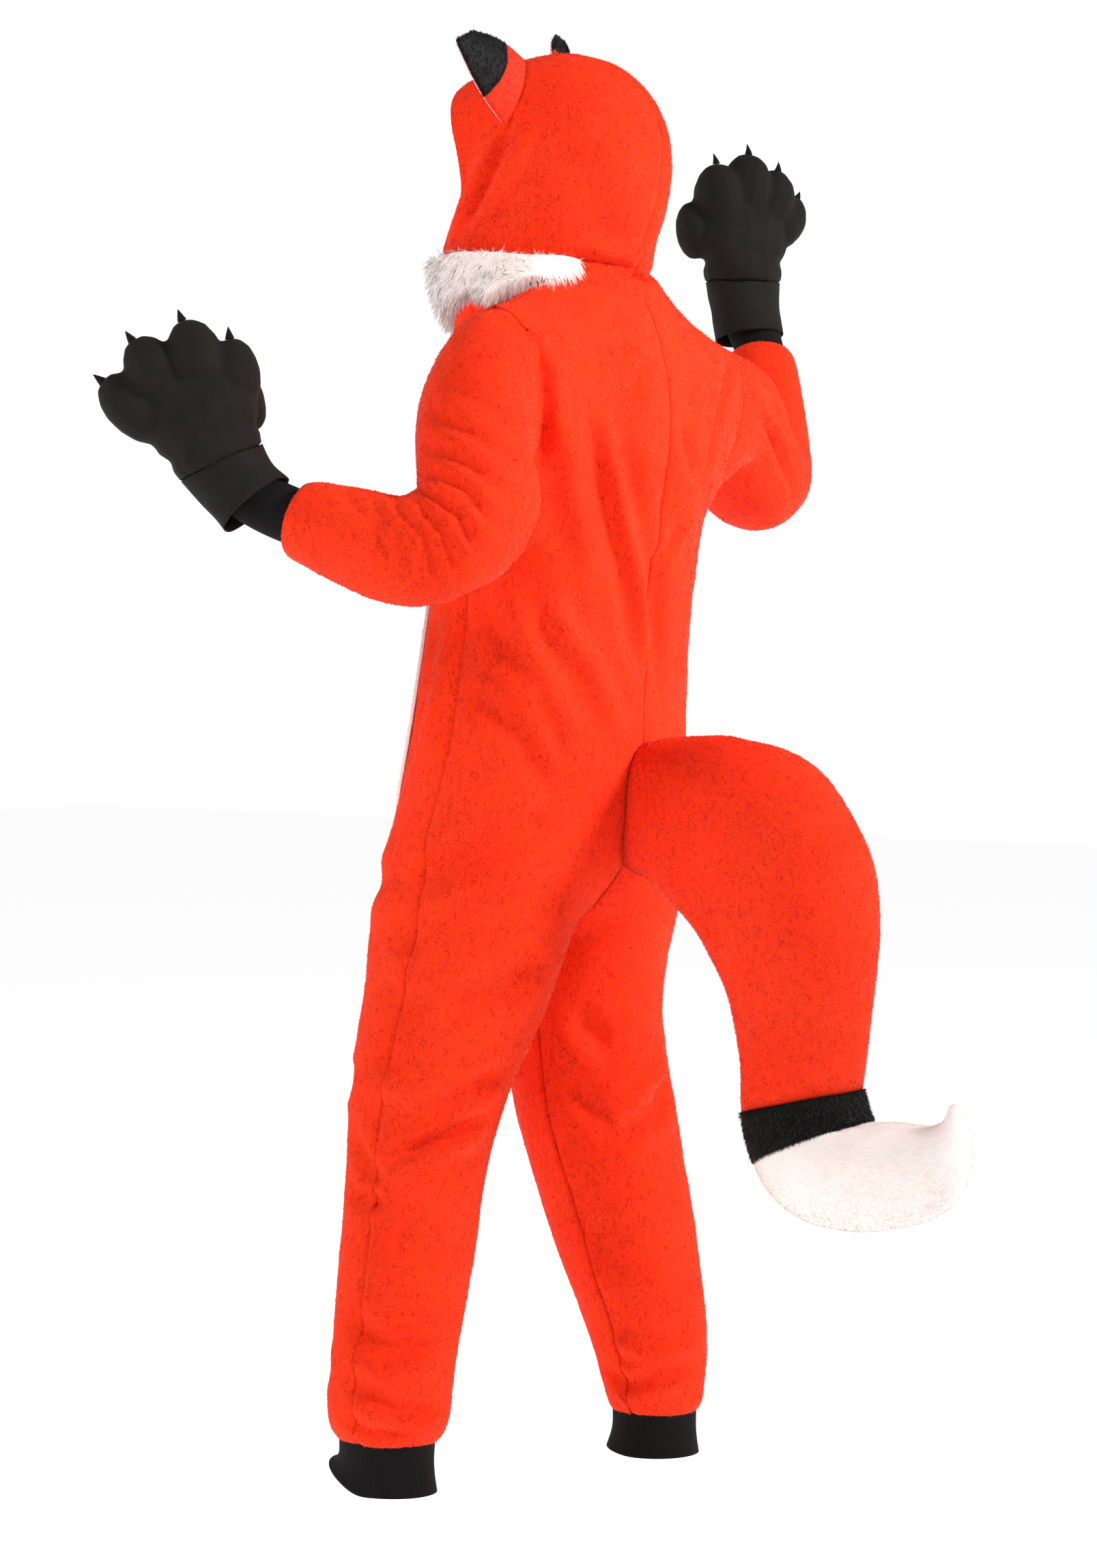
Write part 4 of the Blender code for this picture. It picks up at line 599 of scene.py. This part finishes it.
def makePanels():
    made = []
    for node, cut in panels.items():
        piece = copyNode(node, f"cloth_{node}")
        markLayers(piece)
        subdivide(piece, cut["levels"])
        made.append(piece)
    print("panels subdivided:", sum(len(p.data.polygons) for p in made), "faces")
    lines = creaseLines(shownSkin(made))
    directions = sharedNormals(made)
    for piece in made:
        places = points(piece)
        moved = creaseDepth(places, lines) + rippleDepth(places)
        dip = seam["depth"] * mm * np.exp(-((rimDistance(piece, places) / (seam["width"] * mm)) ** 2))
        setPoints(piece, places + directions[piece.name] * (moved - dip)[:, None])
        giveMaterials(piece, orangePlush, backing, orangePlush)
        node = piece.name.removeprefix("cloth_")
        finishPiece(piece, [node])
    return {p.name.removeprefix("cloth_"): p for p in made}


cloth = makePanels()
print("folds laid in the cloth")


def meshFromArrays(name, places, corners, facesOf, attributes=None):
    # corners is a flat list of vertex numbers, facesOf how many of them each face has
    mesh = bpy.data.meshes.new(name)
    mesh.vertices.add(len(places))
    mesh.vertices.foreach_set("co", places.astype(np.float32).ravel())
    mesh.loops.add(len(corners))
    mesh.loops.foreach_set("vertex_index", corners.astype(np.int32))
    mesh.polygons.add(len(facesOf))
    mesh.polygons.foreach_set("loop_start", np.concatenate([[0], np.cumsum(facesOf)[:-1]]).astype(np.int32))
    mesh.update(calc_edges=True)
    for key, values in (attributes or {}).items():
        mesh.attributes.new(key, "FLOAT", "POINT").data.foreach_set("value", values.astype(np.float32))
    made = bpy.data.objects.new(name, mesh)
    scene.collection.objects.link(made)
    return made


def scatter(piece, count, rng):
    # random places on the outer and rim faces with their smooth normals
    mesh = piece.data
    mesh.calc_loop_triangles()
    triangles = np.empty(len(mesh.loop_triangles) * 3, np.int32)
    mesh.loop_triangles.foreach_get("vertices", triangles)
    owner = np.empty(len(mesh.loop_triangles), np.int32)
    mesh.loop_triangles.foreach_get("polygon_index", owner)
    index = np.empty(len(mesh.polygons), np.int32)
    mesh.polygons.foreach_get("material_index", index)
    triangles = triangles.reshape(-1, 3)[np.isin(index[owner], (outerFaces, rimFaces))]
    places = points(piece)
    normals = normalsOf(piece)
    a, b, c = (places[triangles[:, k]] for k in range(3))
    area = np.linalg.norm(np.cross(b - a, c - a), axis=1)
    chosen = rng.choice(len(triangles), count, p=area / area.sum())
    r, s = rng.random(count), rng.random(count)
    fold = r + s > 1
    r[fold], s[fold] = 1 - r[fold], 1 - s[fold]
    weights = np.stack([1 - r - s, r, s], 1)
    corner = triangles[chosen]
    found = (places[corner] * weights[..., None]).sum(1)
    return found, unit((normals[corner] * weights[..., None]).sum(1))


def napOf(roots, look):
    # the way that the pile is brushed, with slow swirls
    swirl = np.array([noise.noise_vector(p / (look["swirlMm"] * mm)) for p in roots])
    return np.tile(np.array(look["nap"], float), (len(roots), 1)) + swirl * look["swirl"]


def addPile(name, piece, look, rng, material):
    # short flat blades, one triangle each, that lean with the nap
    roots, normals = scatter(piece, look["count"], rng)
    lean = napOf(roots, look)
    lean -= normals * (lean * normals).sum(1, keepdims=True)
    way = unit(normals * look["lift"] + unit(lean) * look["lay"] + rng.normal(0, look["stray"], roots.shape))
    width = unit(np.cross(way, normals + rng.normal(0, look["twist"], roots.shape))) * look["width"] * mm / 2
    length = look["length"] * mm * rng.uniform(0.7, 1.15, (len(roots), 1))
    corners = np.stack([roots - width, roots + width, roots + way * length], 1).reshape(-1, 3)
    along = np.tile([0.0, 0.0, 1.0], len(roots))
    chance = np.repeat(rng.random(len(roots)), 3)
    made = meshFromArrays(name, corners, np.arange(len(corners)), np.full(len(roots), 3),
                          {"along": along, "chance": chance})
    made.data.normals_split_custom_set_from_vertices(np.repeat(normals, 3, axis=0).tolist())
    made.visible_shadow = False          # pile this dense lets the light through to its neighbours
    giveMaterials(made, material)
    finishPiece(made, [])
    return made


def addFur(name, piece, look, rng, material):
    # long hairs of three tapering pieces each, which droop as they leave the backing
    roots, normals = scatter(piece, look["count"], rng)
    way = unit(normals * look["lift"] + napOf(roots, look) * look["lay"]
               + rng.normal(0, look["stray"], roots.shape))
    droop = np.array(look["droop"], float) * rng.uniform(0.5, 1.2, (len(roots), 1))
    width = unit(np.cross(way, normals + rng.normal(0, look["twist"], roots.shape))) * look["width"] * mm / 2
    length = look["length"] * mm * rng.uniform(0.6, 1.1, (len(roots), 1))
    rings = []
    for t, w in ((0, 1), (0.4, 0.85), (0.75, 0.5)):
        centre = roots + (way * t + droop * t * t) * length
        rings += [centre - width * w, centre + width * w]
    rings.append(roots + (way + droop) * length)
    places = np.stack(rings, 1).reshape(-1, 3)
    base = np.arange(len(roots))[:, None] * 7
    pattern = np.array([0, 1, 3, 2, 2, 3, 5, 4, 4, 5, 6])
    corners = (base + pattern).ravel()
    facesOf = np.tile([4, 4, 3], len(roots))
    along = np.tile([0, 0, 0.5, 0.5, 0.8, 0.8, 1.0], len(roots))
    chance = np.repeat(rng.random(len(roots)), 7)
    made = meshFromArrays(name, places, corners, facesOf, {"along": along, "chance": chance})
    made.data.normals_split_custom_set_from_vertices(np.repeat(normals, 7, axis=0).tolist())
    made.visible_shadow = False
    giveMaterials(made, material)
    finishPiece(made, [])
    return made


pile = {
    "perPiece": {"back_left": 70000, "back_right": 70000, "front_left": 22000, "front_right": 22000,
                 "sleeve_left": 34000, "sleeve_right": 31000, "hood_left": 20000, "hood_right": 18000},
    "blade": {"length": 3.2, "width": 1.2, "lift": 0.4, "lay": 0.9, "stray": 0.15, "twist": 0.3,
              "swirl": 0.9, "swirlMm": 26, "nap": (0, 0, -1)},
}
rng = np.random.default_rng(7)
for node, count in pile["perPiece"].items():
    addPile(f"pile_{node}", cloth[node], dict(pile["blade"], count=count), rng, orangeStrands)
print("pile set")


def softPiece(node, levels, materials, lumps=0.0, lumpMm=30):
    piece = copyNode(node, f"soft_{node}")
    markLayers(piece)
    subdivide(piece, levels)
    if lumps:
        places = points(piece)
        size = lumpMm * mm
        moved = np.array([noise.noise(p / size) for p in places]) * lumps * mm
        setPoints(piece, places + normalsOf(piece) * moved[:, None])
    giveMaterials(piece, *materials)
    finishPiece(piece, [node])
    return piece


collarFur = {"count": 9000, "length": 14, "width": 1.1, "lift": 0.6, "lay": 0.8, "stray": 0.2, "twist": 0.4,
             "swirl": 0.7, "swirlMm": 22, "nap": (0, 0, -0.7), "droop": (0, 0, -0.35)}
tummyPile = {"count": 8000, "length": 4.5, "width": 1.3, "lift": 0.5, "lay": 0.85, "stray": 0.2, "twist": 0.3,
             "swirl": 0.8, "swirlMm": 26, "nap": (0, 0, -1)}
tipPile = {"count": 30000, "length": 4, "width": 0.8, "lift": 0.35, "lay": 0.9, "stray": 0.1, "twist": 0.2,
           "swirl": 0.4, "swirlMm": 40, "nap": (0, 0.8, 0.4)}
bandPile = {"count": 12000, "length": 5, "width": 0.9, "lift": 0.45, "lay": 0.85, "stray": 0.2, "twist": 0.4,
            "swirl": 0.5, "swirlMm": 24, "nap": (0, 0.2, -0.9)}
tailPile = dict(pile["blade"], count=52000, nap=(0, 0.3, -0.9))
earPile = dict(pile["blade"], count=3500, length=3.2, nap=(0, 0, 1))

for side in sides:
    collar = softPiece(f"collar_{side}", 2, (whitePlush, whitePlush, whitePlush), 3.0, 26)
    addFur(f"fur_collar_{side}", collar, collarFur, rng, whiteStrands)
    tummy = softPiece(f"tummy_{side}", 2, (whitePlush, whitePlush, whitePlush))
    addPile(f"pile_tummy_{side}", tummy, tummyPile, rng, whiteStrands)

tailBody = softPiece("tail_body", 2, (orangePlush,) * 3, 3.5, 60)
addPile("pile_tail_body", tailBody, tailPile, rng, orangeStrands)
tailBand = softPiece("tail_band", 2, (blackFleece,) * 3, 1.0, 40)
addPile("pile_tail_band", tailBand, bandPile, rng, blackStrands)
tailTip = softPiece("tail_tip", 2, (whitePlush,) * 3, 2.0, 50)
addPile("pile_tail_tip", tailTip, tipPile, rng, whiteStrands)

for side in sides:
    earBack = softPiece(f"ear_back_{side}", 2, (orangePlush,) * 3)
    addPile(f"pile_ear_back_{side}", earBack, earPile, rng, orangeStrands)
    earTip = softPiece(f"ear_tip_{side}", 2, (blackFleece,) * 3)
    addPile(f"pile_ear_tip_{side}", earTip, dict(earPile, length=4.5), rng, blackStrands)
    earInner = softPiece(f"ear_inner_{side}", 2, (pinkFleece,) * 3)
print("fur pieces made")


def addCuff(node, levels):
    piece = copyNode(node, f"knit_{node}")
    markLayers(piece)
    subdivide(piece, levels)
    places = points(piece)
    middle = places.mean(0)
    if node.startswith("ankle"):
        axis = np.array([0, 0, 1.0])
    else:
        # a wrist cuff's axis is the longest way between two places on its rims
        rims = [p.center for p in piece.data.polygons if p.material_index == rimFaces]
        axis = np.array(max((a - b for a in rims for b in rims[::7]), key=lambda d: d.length).normalized())
    first = unit(np.cross(axis, [0.3, 0.9, 0.1]))
    second = np.cross(axis, first)
    out = places - middle
    out = unit(out - np.outer(out @ axis, axis))
    ring = np.stack([out @ first, out @ second, np.zeros(len(places))], 1)
    turn = piece.data.attributes.new("ring", "FLOAT_VECTOR", "POINT")
    turn.data.foreach_set("vector", ring.astype(np.float32).ravel())
    giveMaterials(piece, ribKnit, ribKnit, ribKnit)
    finishPiece(piece, [node])


for side in sides:
    addCuff(f"ankle_cuff_{side}", 2)
    addCuff(f"wrist_cuff_{side}", 2)


mitten = {"voxel": 3.6, "smoothing": 3, "wrinkle": 1.1, "wrinkleMm": 22}


def addMitten(side):
    piece = copyNode(f"mitten_{side}", f"paw_mitten_{side}")
    remesh = piece.modifiers.new("remesh", "REMESH")
    remesh.mode, remesh.voxel_size = "VOXEL", mitten["voxel"] * mm
    smooth = piece.modifiers.new("smooth", "SMOOTH")
    smooth.factor, smooth.iterations = 0.5, mitten["smoothing"]
    applyModifiers(piece)
    places = points(piece)
    moved = np.array([noise.noise(p / (mitten["wrinkleMm"] * mm)) for p in places]) * mitten["wrinkle"] * mm
    setPoints(piece, places + normalsOf(piece) * moved[:, None])
    piece.data.shade_smooth()
    giveMaterials(piece, jersey)
    finishPiece(piece, [f"mitten_{side}"])

    band = softPiece(f"mitten_band_{side}", 2, (jersey,) * 3, 1.6, 28)
    for finger in ("little", "ring", "middle", "index"):
        claw = softPiece(f"claw_{finger}_{side}", 2, (felt,) * 3)


for side in sides:
    addMitten(side)
print("cuffs and mittens made")

zipTeeth = {"pitch": 1.6, "wide": 2.6, "deep": 1.4, "high": 1.0, "offset": 0.5}


def addZipTeeth():
    # moulded teeth along the front face of the tape, from each side in turn
    tape = np.array([tuple(v.co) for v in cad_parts["zip_tape"].data.vertices])
    levels = np.unique(np.round(tape[:, 2], 4))
    rows = [(z, tape[np.abs(tape[:, 2] - z) < 2e-4]) for z in levels[::-1]]
    line = np.array([[row[:, 0].mean(), row[:, 1].min(), z] for z, row in rows])
    line = line[np.concatenate([[True], np.diff(line[:, 2]) < -0.004])]
    lengths = np.concatenate([[0], np.cumsum(np.linalg.norm(np.diff(line, axis=0), axis=1))])
    low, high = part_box("zip_slider")
    places, corners = [], []
    box = [(x, y, z) for x in (-1, 1) for y in (-1, 0.1) for z in (-1, 1)]
    quads = ((0, 1, 3, 2), (4, 6, 7, 5), (0, 4, 5, 1), (2, 3, 7, 6), (0, 2, 6, 4), (1, 5, 7, 3))
    way, number = 0.002, 0
    while way < lengths[-1] - 0.002:
        centre = np.array([np.interp(way, lengths, line[:, k]) for k in range(3)])
        way += zipTeeth["pitch"] * mm
        number += 1
        if low[2] - 0.002 < centre[2] < high[2] + 0.002:
            continue                       # inside the slider
        start = len(places)
        shift = zipTeeth["offset"] * (1 if number % 2 else -1)
        for x, y, z in box:
            places.append(centre + np.array([x * zipTeeth["wide"] / 2 + shift, y * zipTeeth["deep"] / 2,
                                             z * zipTeeth["high"] / 2]) * mm)
        corners.extend([start + k for quad in quads for k in quad])
    made = meshFromArrays("zip_teeth", np.array(places), np.array(corners), np.full(len(corners) // 4, 4))
    giveMaterials(made, tapeWeave)
    finishPiece(made, [])


addZipTeeth()
giveMaterials(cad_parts["zip_tape"], tapeWeave)
for node in ("zip_slider", "zip_pull"):
    giveMaterials(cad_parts[node], plating)
print("zip finished")

studio = {"floor": -1.47, "floorColour": "#FFFFFF", "floorGlow": 0.78, "paper": 1.05, "ceiling": 0.1,
          "paperTop": 0.18, "ceilingFrom": 0.4, "worldColour": "#FFFFFF"}
lamps = {
    # name: place, aim, size in metres, spread in degrees, watts
    "key": ((4.0, -1.0, 2.3), (0.1, 0.0, -0.5), 1.3, 180, 80),
    "front": ((-0.5, -4.5, 1.5), (0.0, 0.0, -0.6), 3.0, 180, 26),
    "back": ((-1.4, 4.0, 2.0), (-0.1, 0.15, -0.2), 1.4, 30, 11),
}


def addStage():
    floor = meshFromArrays("floor", np.array([(-12, -12, 0), (12, -12, 0), (12, 12, 0), (-12, 12, 0)], float)
                           + (0, 0, studio["floor"]), np.arange(4), np.array([4]))
    made = newMaterial("matt_floor", 1.0, {
        "Base Color": hexColour(studio["floorColour"]), "Specular IOR Level": 0.0,
        "Emission Color": hexColour(studio["floorColour"]), "Emission Strength": studio["floorGlow"]})[0]
    giveMaterials(floor, made)
    world = bpy.data.worlds.new("studio")
    world.use_nodes = True
    backdrop = world.node_tree.nodes["Background"]
    backdrop.inputs["Color"].default_value = hexColour(studio["worldColour"])
    # white paper all round up to the top of the picture, and a dim ceiling over it
    tree = world.node_tree
    way = addNode(tree, "ShaderNodeTexCoord")
    height = addNode(tree, "ShaderNodeSeparateXYZ", links={0: way.outputs["Generated"]})
    strength = addNode(tree, "ShaderNodeMapRange",
                       {"From Min": studio["paperTop"], "From Max": studio["ceilingFrom"],
                        "To Min": studio["paper"], "To Max": studio["ceiling"]},
                       {"Value": height.outputs["Z"]})
    tree.links.new(strength.outputs[0], backdrop.inputs["Strength"])
    scene.world = world
    for name, (place, aim, size, spread, watts) in lamps.items():
        data = bpy.data.lights.new(name, "AREA")
        data.size, data.spread, data.energy = size, math.radians(spread), watts
        lamp = bpy.data.objects.new(name, data)
        lamp.location = place
        lamp.rotation_euler = (Vector(place) - Vector(aim)).to_track_quat("Z", "Y").to_euler()
        scene.collection.objects.link(lamp)
    scene.view_settings.view_transform = "Standard"


addStage()
print("stage set")
